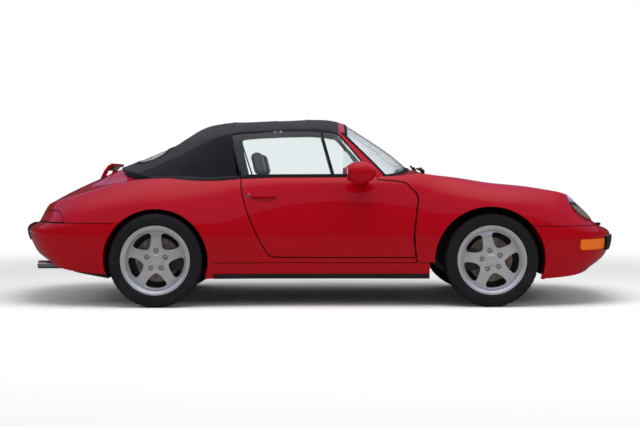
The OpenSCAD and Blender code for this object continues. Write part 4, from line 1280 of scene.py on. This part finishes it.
def door_inners():
    """The door's thickness with its inner face, arm rest, pull and speaker, and its handle and lock."""
    for side, name in SIDES:
        y = span(side, 600, 1000)
        slab = prism(grown(rounded(DOOR, 60), -16), "y", *y)
        boolean(slab, prism([(side * a, b) for a, b in DOOR_BACK], "x", -FAR, FAR), "INTERSECT")
        boolean(slab, BODY_AT[7], "INTERSECT", keep=True)
        ahead = block(HINGE[0], FAR, *y, 0, 2000)
        boolean(ahead, hinge_core(0, side))
        boolean(slab, ahead)
        for z in HINGE_LEVELS:
            pocket = turned([(0, z - 6), (128, z - 6), (128, z + 36), (0, z + 36)], "z", 32,
                            centre=(HINGE[0], side * HINGE[1], 0))
            boolean(slab, pocket)
        boolean(slab, block(-700, 700, *span(side, 684, 700), 800, 1000))
        boolean(slab, grip_hollow(side, 1.1))
        boolean(slab, block(-440, 420, *span(side, 0, 676), 470, 474))
        for f in slab.data.polygons:
            f.material_index = int(abs(f.center.y) > 708 * MM)
        finished(soften(slab, 30), f"door_inner_{name}", [LEATHER, RUBBER], f"door_{name}", "upholstery",
                 f"door_{name}")
        rest = pillow((190, 24, 26), (-60, side * 672, 600), 18)
        lift = round_edges(prism([(150, 560), (330, 600), (330, 640), (150, 625)], "y",
                                 *span(side, 650, 690)), 8, 3)
        speaker = turned([(0, 0), (78, 0), (78, 5), (70, 9), (66, 6), (0, 7)], "y", 48)
        speaker.data.transform(shift(330, side * 706, 440) @ scale_along("y", -side))
        face_outwards(speaker)
        finished(join(rest, soften(lift), soften(speaker)), f"door_trim_{name}", PLASTIC, f"door_{name}",
                 "trim_black")
        shell = grip_hollow(side, 1.1)
        boolean(shell, grip_hollow(side, 0.99))
        boolean(shell, BODY_AT[0], "INTERSECT", keep=True)
        bar = prism(rounded([(-462, 744), (-462, 764), (-288, 764), (-288, 744)], 9, 4), "y",
                    *span(side, 700, 900))
        bar = layer(bar, BODY_AT, -14, -3)
        ends = layer(both_ends(side), BODY_AT, -3, 4)
        round_edges(bar, 3, 3, 50)
        finished(soften(join(bar, ends, shell)), f"door_handle_{name}", PAINT, f"door_{name}", "paint")
        hit, _ = cast("body", (-478, side * 1500, 749), (0, -side, 0))
        lock = turned([(0, -4), (15, -4), (15, 2), (13, 4), (8, 4), (6, -1), (0, -1)], "y", 32)
        lock.data.transform(shift(-478, hit[1], 749) @ scale_along("y", side))
        face_outwards(lock)
        finished(soften(lock), f"door_lock_{name}", STEEL, f"door_{name}", "alloy")


def both_ends(side):
    y = span(side, 700, 900)
    return join(block(-460, -440, *y, 746, 762), block(-310, -290, *y, 746, 762))


def pillow(half, place, r, relief=None, tilt=0, cuts=22):
    """A soft block, its surface shaped by relief(x, y, z) in its own frame, tilted about Y, then placed."""
    bpy.ops.object.select_all(action="DESELECT")
    bpy.ops.mesh.primitive_cube_add(size=2)
    obj = bpy.context.active_object
    bpy.ops.object.mode_set(mode="EDIT")
    bpy.ops.mesh.subdivide(number_cuts=cuts)
    bpy.ops.object.mode_set(mode="OBJECT")
    for v in obj.data.vertices:
        p = np.array(v.co) * half
        core = np.clip(p, [-(h - r) for h in half], [h - r for h in half])
        off = p - core
        length = np.linalg.norm(off)
        q = core + (off / length * min(r, length) if length > 1e-6 else 0)
        if relief:
            q = q + relief(*q)
        v.co = q
    obj.data.transform(Matrix.Scale(MM, 4) @ Matrix.Translation(place) @ spin(tilt, "Y"))
    return soften(obj, 60)


# A mirror's y and z
MIRROR_AT = (862, 908)


def mirrors():
    """Mirror housings with their feet and a silvered plate set in the back of each."""
    for side, name in SIDES:
        bpy.ops.object.select_all(action="DESELECT")
        bpy.ops.mesh.primitive_uv_sphere_add(segments=64, ring_count=40, radius=94 * MM)
        egg = bpy.context.active_object
        for v in egg.data.vertices:
            x, y, z = v.co
            flat = 1 - 0.12 * smooth(-0.02, 0.094, x)
            v.co = (x * 1.16, y * 0.84 * flat, z * 0.82 * flat)
        egg.data.transform(shift(276, side * MIRROR_AT[0], MIRROR_AT[1]))
        boolean(egg, block(0, 184, -1000, 1000, 700, 1100))
        cup = turned([(0, 172), (57, 172), (57, 196), (0, 196)], "x", 64)
        cup.data.transform(shift(0, side * MIRROR_AT[0], MIRROR_AT[1]) @ scale_along("z", 0.80)
                           @ scale_along("y", 0.86))
        boolean(egg, cup)
        groove = turned([(64, 206), (92, 206), (92, 209), (64, 209)], "x", 64)
        groove.data.transform(shift(0, side * MIRROR_AT[0], MIRROR_AT[1]) @ scale_along("z", 0.82)
                              @ scale_along("y", 0.87))
        boolean(egg, groove)
        foot = prism(rounded([(258, 846), (338, 846), (330, 884), (292, 902), (262, 898)], 14), "y",
                     *span(side, 696, 810))
        round_edges(foot, 6, 3)
        boolean(egg, foot, "UNION")
        boolean(egg, BODY_AT[0], keep=True)
        finished(soften(egg, 32), f"mirror_housing_{name}", PAINT, f"door_{name}", "paint", f"mirror_{name}")
        plate = turned([(0, 189), (55, 189), (56, 191), (56, 195), (0, 195)], "x", 64)
        plate.data.transform(shift(0, side * MIRROR_AT[0], MIRROR_AT[1]) @ scale_along("z", 0.80)
                             @ scale_along("y", 0.86))
        finished(soften(plate), f"mirror_plate_{name}", MIRROR, f"door_{name}", "alloy")


MIRROR = surface("silvered_glass", (0.82, 0.84, 0.86), (0.7, 0.7, 0.7), 0.1, 8, 0.03, 900, 0.0, Metallic=1.0)
AMBER = surface("amber_lens", (0.62, 0.12, 0.006), (0.4, 0.08, 0.01), 0.2, 20, 0.12, 260, 0.25, 0.0008,
                Coat_Weight=0.35, Coat_Roughness=0.04, Specular_IOR_Level=0.15)
RED_LENS = surface("red_lens", (0.28, 0.0015, 0.01), (0.15, 0.004, 0.01), 0.2, 20, 0.12, 260, 0.25, 0.0008,
                   Coat_Weight=0.35, Coat_Roughness=0.04, Specular_IOR_Level=0.15)
PLATE = surface("blank_plate", (0.7, 0.7, 0.69), (0.4, 0.38, 0.35), 0.2, 9, 0.35, 500, 0.05)
door_inners()
mirrors()


# ---------------------------------------------------------------- lamps and outer trim
def in_lamp(obj):
    """Puts a piece made round the origin, opening upwards, into both headlamps."""
    obj.data.transform(lamp_place())
    face_outwards(obj)
    return both(soften(obj, 30))


def headlamps():
    inner = block(0, FAR, -400, 400, 0, 1000)
    lens = layer(lamp_tool(95), BODY_AT, 0, 4, copy_of(inner))
    finished(soften(lens), "headlamp_lenses", LAMP_GLASS, "chassis", "lamp_clear", "headlamps")
    ring = layer(boolean(lamp_tool(100), lamp_tool(94)), BODY_AT, -3, 24, inner)
    finished(soften(ring), "headlamp_rings", PAINT, "chassis", "paint")
    bowl = in_lamp(turned([(92, -6), (94, -6), (92, -22), (84, -44), (66, -62), (40, -74), (0, -80),
                           (0, -77), (39, -71), (64, -59), (81, -42), (89, -22), (91, -8)], "z", 72))
    lamp = in_lamp(turned([(0, -76), (26, -70), (26, -44), (30, -40), (34, -40), (34, -36), (22, -30),
                           (0, -27)], "z", 40))
    finished(join(bowl, lamp), "headlamp_bowls", MIRROR, "chassis", "alloy")


def small_lamps():
    lens = layer(indicator_zone(-1), BODY_AT, 0, 9)
    finished(soften(lens), "indicator_lenses", AMBER, "chassis", "lamp_amber", "front_indicators")
    surround = boolean(layer(indicator_zone(2), BODY_AT, 4, 24), indicator_zone(-1))
    finished(soften(surround), "indicator_surrounds", RUBBER, "chassis", "trim_black")
    red = [(-FAR, 575), (-1734, 575), (-1745, 598), (-1765, 629), (-1791, 645), (-FAR, 648)]
    lens = layer(prism(red, "y", -1000, 1000), BODY_AT, 0, 9)
    finished(soften(lens), "tail_lens", RED_LENS, "chassis", "lamp_red", "tail_lamps")
    gasket = boolean(layer(lamp_band(0.5), BODY_AT, 4, 24), prism(red, "y", -1000, 1000))
    finished(soften(gasket), "tail_lamp_gasket", RUBBER, "chassis", "trim_black")


def brake_arch():
    feet = both(prism([(-1608, 830), (-1592, 880), (-1568, 930), (-1540, 966), (-1512, 982), (-1490, 980),
                       (-1490, 964), (-1512, 960), (-1536, 940), (-1556, 900), (-1570, 830)], "y", 150,
                      190))
    top = prism([(-1562, 936), (-1540, 964), (-1512, 982), (-1490, 980), (-1490, 962), (-1514, 956),
                 (-1544, 928)], "y", -180, 180)
    arch = round_edges(fused(feet, top), 8, 4, 30)
    boolean(arch, BODY_AT[0], keep=True)
    finished(soften(arch), "brake_lamp_arch", PAINT, "engine_lid", "paint", "brake_light_arch")
    lens = round_edges(prism([(-1561, 941), (-1553, 937), (-1535, 962), (-1542, 966)], "y", -140, 140), 1, 2)
    finished(soften(lens), "brake_lamp_lens", RED_LENS, "engine_lid", "lamp_red")


def grilles():
    slats = join(*[block(x, x + 5, -330, 330, 600, 1400) for x in range(-1686, -1524, 15)])
    boolean(slats, prism(grown(GRILLE, -1), "z", 600, 1400), "INTERSECT")
    layer(slats, BODY_AT, 0, 24)
    frame = layer(rim_zone(GRILLE, "z", -7, 8, 600, 1400), BODY_AT, 4, 24)
    pan = layer(prism(grown(GRILLE, 8), "z", 600, 1400), BODY_AT, 24, 28)
    finished(soften(fused(slats, frame, pan)), "engine_grille", PLASTIC, "engine_lid", "trim_black")
    bars = [block(1900, FAR, -304, 304, z, z + 5) for z in range(312, 370, 14)]
    posts = [block(1900, FAR, y - 3, y + 3, 296, 376) for y in range(-240, 241, 80)]
    mesh = layer(fused(*bars, *posts), BODY_AT, 4, 24)
    back = layer(block(1900, FAR, -308, 308, 294, 378), BODY_AT, 24, 28)
    finished(soften(fused(mesh, back)), "nose_grille", PLASTIC, "chassis", "trim_black")


def outer_trim():
    sills = both(layer(block(-712, 742, 600, 1000, 191, 224), BODY_AT, -3, 7))
    boolean(sills, rear_arch(1))
    boolean(sills, front_arch(1))
    pads = both(round_edges(layer(block(2002, FAR, 190, 900, 370, 467), BODY_AT, -14, 4), 4, 2, 50))
    bumperettes = both(layer(block(-FAR, -1990, 188, 262, 430, 556), BODY_AT, -14, 7))
    finished(soften(join(sills, pads, bumperettes)), "sill_and_bumper_strips", PLASTIC, "chassis",
             "trim_black")
    tray = layer(both(prism([(-1668, 236), (-1398, 186), (-1380, 200), (-1380, 262), (-1660, 262)], "y",
                            300, 760)), BODY_AT, 7, None)
    boolean(tray, rear_arch(1))
    finished(soften(tray), "rear_undertray", PLASTIC, "chassis", "underbody")
    plate = round_edges(layer(block(-FAR, -1990, -152, 152, 392, 544), BODY_AT, -3, 4), 1, 2, 60)
    finished(soften(plate), "blank_plate", PLATE, "chassis", "trim_black")
    jets = []
    for x, y in ((1966, 420), (1966, -420)):
        hit, _ = cast("body", (x, y, 2000), (0, 0, -1))
        jets.append(round_edges(block(x - 26, x + 26, y - 13, y + 13, hit[2] - 8, hit[2] + 12), 5, 3))
    for y in (-210, 210):
        hit, _ = cast("body", (842, y, 2000), (0, 0, -1))
        jets.append(round_edges(block(832, 852, y - 11, y + 11, hit[2] - 4, hit[2] + 7), 3, 3))
    finished(soften(join(*jets[:2])), "lamp_washers", PLASTIC, "chassis", "trim_black")
    finished(soften(join(*jets[2:])), "screen_washers", PLASTIC, "front_lid", "trim_black")


def wipers():
    pieces = []
    for y in (-120, 420):
        foot = turned([(0, -6), (16, -6), (15, 22), (10, 30), (0, 31)], "z", 32,
                      centre=(760, y, deck_z(760, y)))
        tip = (690, y - 430, deck_z(690, y - 430) + 36)
        heel = (760, y, deck_z(760, y) + 22)
        mid = tuple(a + (b - a) * 0.45 + c for a, b, c in zip(heel, tip, (0, 0, 8)))
        arm = tube("arm", [heel, mid, tuple(a + (b - a) * 0.62 + c for a, b,
                                            c in zip(heel, tip, (0, 0, 4)))], 8)
        blade = tube("blade", [tuple(a + (b - a) * q + c for a, b, c in zip(heel, tip, (-8, 0, -3)))
                               for q in (0.18, 0.6, 1.0)], 7)
        pieces += [soften(foot), arm, blade]
    finished(join(*pieces), "wiper_arms", PLASTIC, "chassis", "trim_black", "wipers")


def exhausts():
    pipe = turned([(44, -1950), (45, -1947), (44, -1944), (43, -1900), (43, -1770), (39, -1770),
                   (39, -1946), (41, -1950)], "x", 64)
    pipe.data.transform(shift(0, 560, 272) @ scale_along("z", 0.64))
    box = round_edges(block(-1790, -1520, 390, 610, 252, 398), 26, 4)
    strap = join(block(-1700, -1688, 386, 614, 248, 402), block(-1620, -1608, 386, 614, 248, 402))
    finished(both(soften(join(box, strap))), "silencers", CASTING, "chassis", "exhaust_steel", "exhaust")
    finished(both(soften(pipe)), "tailpipes", STEEL, "chassis", "exhaust_steel")


headlamps()
small_lamps()
brake_arch()
grilles()
outer_trim()
wipers()
exhausts()


# ---------------------------------------------------------------- cabin
def flute(at, pitch, width):
    """1 in the middle of every pitch, falling to nothing within about two widths."""
    return math.exp(-((at % pitch - pitch / 2) / width) ** 2)


def cushion_relief(x, y, z):
    """Raised side bolsters and stitched flutes on the upper face of a seat cushion."""
    top = smooth(0, 40, z)
    bolster = 34 * smooth(150, 215, abs(y)) * top
    flutes = -7 * top * smooth(165, 150, abs(y)) * smooth(-230, -190, x) * smooth(235, 190,
                                                                                  x) * flute(x + 195, 78, 7)
    return np.array([0, 0, bolster + flutes])


def back_relief(x, y, z):
    """The same on the front face of a seat back, narrower towards the top."""
    front = smooth(0, 30, x)
    narrow = -0.16 * y * smooth(60, 240, z)
    bolster = 38 * smooth(135, 200, abs(y)) * front * smooth(250, 120, z)
    flutes = -7 * front * smooth(150, 135, abs(y)) * smooth(-240, -200, z) * smooth(235, 200,
                                                                                    z) * flute(z + 200, 66,
                                                                                               6)
    return np.array([bolster + flutes, narrow, 0])


def dish_relief(x, y, z):
    """A shallow dish in the top of a rear seat cushion."""
    return np.array([0, 0, -12 * smooth(0, 30, z) * math.exp(-(x * x + y * y) / 9000)])


def seats():
    for side, name in SIDES:
        y = side * 345
        pads = join(pillow((250, 245, 52), (8, y, 352), 34, cushion_relief, -5, 40),
                    pillow((48, 225, 258), (-322, y, 652), 34, back_relief, -19, 44),
                    pillow((38, 128, 78), (-432, y, 976), 32, None, -14))
        finished(pads, f"seat_pads_{name}", LEATHER, "chassis", "upholstery", f"seat_{name}")
        shell = prism([(-306, 400), (-262, 400), (-446, 886), (-474, 880)], "y", y - 205, y + 205)
        round_edges(shell, 14, 4)
        rails = [block(-200, 230, y + at - 18, y + at + 18, 222.5, 244) for at in (-170, 170)]
        legs = [block(x, x + 36, y + at - 14, y + at + 14, 244, 306) for at in (-170, 170)
                for x in (-180, 160)]
        posts = [tube("post", [(-404, y + at, 860), (-428, y + at, 930)], 6) for at in (-50, 50)]
        stitch = tube("piping", [(-210, y - 236, 392), (120, y - 236, 372), (236, y - 210, 366),
                                 (244, y, 362), (236, y + 210, 366), (120, y + 236, 372),
                                 (-210, y + 236, 392)], 3)
        finished(join(soften(shell), *rails, *legs, *posts, stitch), f"seat_frame_{name}", PLASTIC,
                 "chassis", "trim_black")
    small = [pillow((142, 180, 34), (-708, s * 282, 404), 26, dish_relief, 4) for s in (1, -1)]
    backs = [pillow((26, 182, 176), (-864, s * 282, 620), 22, None, -14) for s in (1, -1)]
    rear = finished(join(*small, *backs), "rear_seat_pads", LEATHER, "chassis", "upholstery", "rear_seats")


def dashboard():
    body = prism([(700, 560), (710, 600), (700, 878), (560, 866), (432, 818), (422, 700), (470, 640),
                  (520, 560)], "y", -560, 560)
    round_edges(body, 16, 4)
    hood = round_edges(prism([(400, 812), (560, 850), (560, 892), (470, 896), (404, 872)], "y", 205, 545),
                       16, 4, 50)
    cavity = prism([(380, 800), (440, 806), (440, 874), (380, 866)], "y", 222, 528)
    boolean(hood, round_edges(cavity, 8, 3))
    for y in (-500, -60, 60, 500):
        boolean(body, round_edges(block(405, 440, y - 44, y + 44, 752, 796), 4, 2))
    boolean(body, block(400, 446, -440, -110, 698, 701))
    slats = [block(432, 442, y - 42, y + 42, z, z + 3) for y in (-500, -60, 60, 500)
             for z in (761, 771, 781)]
    column = tube("column", [(470, 360, 650), (330, 360, 698)], 30)
    stalks = [tube("stalk", [(336, 360, 700), (326, 360 + d * 60, 706), (318, 360 + d * 150, 722)], 6)
              for d in (1, -1)]
    radio = round_edges(block(412, 440, -20, 160, 640, 694), 3, 2)
    finished(join(soften(body), soften(hood), *slats, column, *stalks, radio), "dashboard_trim",
             DARK_LEATHER, "chassis", "trim_black", "dashboard")
    dials = []
    for y, r in ((240, 26), (294, 32), (365, 42), (438, 32), (494, 26)):
        dial = turned([(0, 434), (r, 434), (r, 428), (r - 3, 427), (r - 4, 432), (0, 432)], "x", 40,
                      centre=(0, y, 842))
        needle = block(429, 431, y - 1.2, y + 1.2, 842, 842 + r * 0.7)
        dials += [soften(dial), needle]
    finished(join(*dials), "dials", PLATE_GREY, "chassis", "trim_black")


def steering():
    tilt = shift(290, 360, 713) @ spin(-70.8, "Y")
    bpy.ops.object.select_all(action="DESELECT")
    bpy.ops.mesh.primitive_torus_add(major_segments=96, minor_segments=20, major_radius=177.5 * MM,
                                     minor_radius=15 * MM)
    rim_ring = bpy.context.active_object
    hub = pillow((64, 74, 20), (0, 0, 14), 16)
    spokes = []
    for a in (62, 118, 242, 298):
        spoke = round_edges(prism([(40, -17), (168, -10), (168, 10), (40, 17)], "z", -4, 9), 3, 2)
        spoke.data.transform(spin(a, "Z"))
        spokes.append(soften(spoke))
    post = turned([(0, -14), (24, -14), (26, 4), (0, 4)], "z", 40)
    wheel = join(soften(rim_ring, 60), hub, *spokes, soften(post))
    wheel.data.transform(tilt)
    finished(wheel, "steering_wheel_trim", DARK_LEATHER, "steering_wheel", "trim_black", "steering_wheel")


def cabin_floor():
    carpet = fused(block(-690, 720, -597, 597, 222.5, 228), block(-955, -680, -468, 468, 222.5, 228),
                   block(-955, 720, -92, 92, 224, 305))
    round_edges(carpet, 3, 2)
    side = both(fused(block(-955, -690, 470, 476, 228, 700), block(-958, -952, 95, 600, 228, 780)))
    tub = fused(block(757, 1777, -394, 394, 303, 306), block(1771, 1777, -394, 394, 303, 520),
                block(757, 763, -394, 394, 303, 690))
    finished(soften(join(carpet, side, tub)), "carpets", CARPET, "chassis", "top_fabric")
    boot = turned([(0, 304), (52, 304), (48, 312), (30, 340), (14, 372), (0, 374)], "z", 32,
                  centre=(190, 0, 0))
    lever = tube("lever", [(190, 0, 360), (176, 0, 440)], 6)
    knob = pillow((17, 17, 26), (172, 0, 458), 15, cuts=8)
    brake = tube("brake", [(-150, 26, 318), (20, 26, 352)], 11)
    pedals = [round_edges(prism([(560, z), (566, z), (590, z + 80), (584, z + 80)], "y", y - 26, y + 26), 2,
                          2) for y, z in ((440, 300), (350, 300), (250, 280))]
    glass_stem = tube("stem", [(150, 0, 1248), (138, 0, 1206)], 5)
    inner_mirror = pillow((10, 118, 27), (128, 0, 1196), 9, cuts=10)
    finished(join(soften(boot), lever, knob, brake, *pedals, glass_stem, inner_mirror), "cabin_fittings",
             PLASTIC, "chassis", "trim_black")


DARK_LEATHER = surface("dashboard_grain", (0.016, 0.016, 0.018), (0.04, 0.04, 0.04), 0.3, 6, 0.5, 520, 0.3,
                       0.0006)
PLATE_GREY = surface("dial_face", (0.05, 0.05, 0.055), (0.1, 0.1, 0.1), 0.3, 60, 0.3, 900, 0.05)
seats()
dashboard()
steering()
cabin_floor()


# ---------------------------------------------------------------- running gear
def springs():
    """The coil spring round each front strut."""
    low, top = Vector((1169.5, 630.5, 195)), Vector((1169.5, 497.5, 800))
    way = (top - low).normalized()
    across = way.cross(Vector((1, 0, 0))).normalized()
    coil = []
    for k in range(145):
        at = low + way * (430 + 130 * k / 144)
        a = math.tau * 5.5 * k / 144
        coil.append(tuple(at + Vector((math.cos(a), 0, 0)) * 56 + across * math.sin(a) * 56))
    finished(both(tube("coil", coil, 6)), "front_springs", IRON_BLACK, "chassis", "chassis_steel")


def running_gear_finishes():
    finishes = {"floor_pan": UNDERSEAL, "front_suspension": IRON_BLACK, "rear_suspension": IRON_BLACK,
                "knuckle_left": IRON_BLACK, "knuckle_right": IRON_BLACK, "engine_block": CASTING}
    for node, material in finishes.items():
        mesh = frame["nodes"][node].data
        mesh.materials.clear()
        mesh.materials.append(material)


IRON_BLACK = surface("black_iron", (0.02, 0.02, 0.021), (0.08, 0.06, 0.045), 0.5, 14, 0.5, 300, 0.2,
                     Metallic=0.3)
springs()
running_gear_finishes()


# ---------------------------------------------------------------- studio
def fading(material):
    """Past a few metres the floor turns as white as the background it meets."""
    tree = material.node_tree
    shader = tree.nodes["Principled BSDF"]
    place = add_node(tree, "ShaderNodeTexCoord")
    reach = add_node(tree, "ShaderNodeVectorMath", [(0, place.outputs["Object"])], operation="LENGTH")
    far = add_node(tree, "ShaderNodeMapRange", [("Value", reach.outputs["Value"])],
                   interpolation_type="SMOOTHSTEP", in_1=3.0, in_2=6.5)
    glow = add_node(tree, "ShaderNodeEmission")
    glow.inputs["Color"].default_value = (1, 1, 1, 1)
    mixed = add_node(tree, "ShaderNodeMixShader", [(0, far.outputs["Result"]), (1, shader.outputs[0]),
                                                   (2, glow.outputs[0])])
    tree.links.new(mixed.outputs[0], tree.nodes["Material Output"].inputs["Surface"])
    return material


def only_mirrored(card):
    """Stages a card that shows in mirroring surfaces and nowhere else."""
    for way in ("camera", "diffuse", "transmission", "shadow"):
        setattr(card, f"visible_{way}", False)


def studio():
    """A pale floor, three soft lamps, a sky that looks blue only in reflections, and dim cards."""
    bpy.ops.mesh.primitive_plane_add(size=26)
    floor = bpy.context.active_object
    floor.name = "floor"
    floor.data.materials.append(fading(surface("floor_paint", (0.80, 0.80, 0.80), (0.76, 0.76, 0.76), 0.1,
                                               0.8, 0.6, 30, 0.01)))
    world = bpy.data.worlds.new("studio")
    bpy.context.scene.world = world
    world.use_nodes = True
    tree = world.node_tree
    back = tree.nodes["Background"]
    sky = add_node(tree, "ShaderNodeTexCoord")
    up = add_node(tree, "ShaderNodeSeparateXYZ", [(0, sky.outputs["Generated"])])
    height = add_node(tree, "ShaderNodeMapRange", [("Value", up.outputs["Z"])],
                      interpolation_type="SMOOTHSTEP", in_1=0.7, in_2=1.0)
    blue = add_node(tree, "ShaderNodeMix", [(0, height.outputs["Result"])], data_type="RGBA")
    blue.inputs[6].default_value = (0.24, 0.31, 0.56, 1)
    blue.inputs[7].default_value = (1.0, 1.0, 1.15, 1)
    path = add_node(tree, "ShaderNodeLightPath")
    seen = add_node(tree, "ShaderNodeMath", [(0, path.outputs["Is Camera Ray"]),
                                             (1, path.outputs["Is Glossy Ray"])], operation="MAXIMUM")
    through = add_node(tree, "ShaderNodeMath", [(0, seen.outputs[0]),
                                                (1, path.outputs["Is Transmission Ray"])],
                       operation="MAXIMUM")
    level = add_node(tree, "ShaderNodeMapRange", [("Value", through.outputs[0])], in_3=0.62, in_4=1.0)
    mirrored_sky = add_node(tree, "ShaderNodeMath",
                            [(0, path.outputs["Is Glossy Ray"]), (1, path.outputs["Is Transmission Ray"])],
                            operation="SUBTRACT", use_clamp=True)
    tone = add_node(tree, "ShaderNodeMix", [(0, mirrored_sky.outputs[0]), (7, blue.outputs[2])],
                    data_type="RGBA")
    tone.inputs[6].default_value = (1, 1, 1, 1)
    tree.links.new(tone.outputs[2], back.inputs["Color"])
    tree.links.new(level.outputs["Result"], back.inputs["Strength"])
    for name, place, aim, size, power in (("lamp_above", (0.4, -1.5, 5.2), (0, 0, 0.3), 5.0, 300),
                                          ("lamp_front", (5.5, -4.5, 3.2), (1, 0, 0.5), 2.4, 90),
                                          ("lamp_rear", (-6.0, -3.0, 3.4), (-1, 0, 0.5), 2.4, 80)):
        data = bpy.data.lights.new(name, "AREA")
        data.shape = "RECTANGLE"
        data.size = size
        data.size_y = size * 0.7
        data.energy = power
        lamp = bpy.data.objects.new(name, data)
        lamp.location = place
        lamp.visible_glossy = lamp.visible_transmission = False
        lamp.rotation_euler = (Vector(aim) - Vector(place)).to_track_quat("-Z", "Y").to_euler()
        bpy.context.scene.collection.objects.link(lamp)
    bpy.ops.mesh.primitive_cylinder_add(vertices=64, radius=15, depth=6.2, end_fill_type="NOTHING",
                                        location=(0, 0, 3.1))
    cards = bpy.context.active_object
    cards.name = "dim_cards"
    cards.data.materials.append(surface("card_grey", (0.07, 0.055, 0.05), (0.05, 0.04, 0.04), 0.2, 0.3, 0.9,
                                        3, 0.01))
    only_mirrored(cards)
    bpy.ops.mesh.primitive_circle_add(vertices=64, radius=12, fill_type="NGON", location=(0, 0, 0.004))
    low = bpy.context.active_object
    low.name = "dim_floor_card"
    low.data.materials.append(surface("low_card_grey", (0.12, 0.11, 0.11), (0.10, 0.09, 0.09), 0.2, 0.3,
                                      0.9, 3, 0.01))
    only_mirrored(low)


def camera():
    data = bpy.data.cameras.new("camera")
    data.lens = 62.69
    data.sensor_width = 36
    data.shift_y = -0.0502
    eye = bpy.data.objects.new("camera", data)
    eye.location = (0.006, -8.32, 0.85)
    eye.rotation_euler = (math.pi / 2, 0, 0)
    bpy.context.scene.collection.objects.link(eye)
    bpy.context.scene.camera = eye


studio()
camera()
for spare in (*BODY_AT.values(), *ROOF_AT.values()):
    bpy.data.objects.remove(spare, do_unlink=True)
bpy.context.scene.view_settings.view_transform = "Standard"
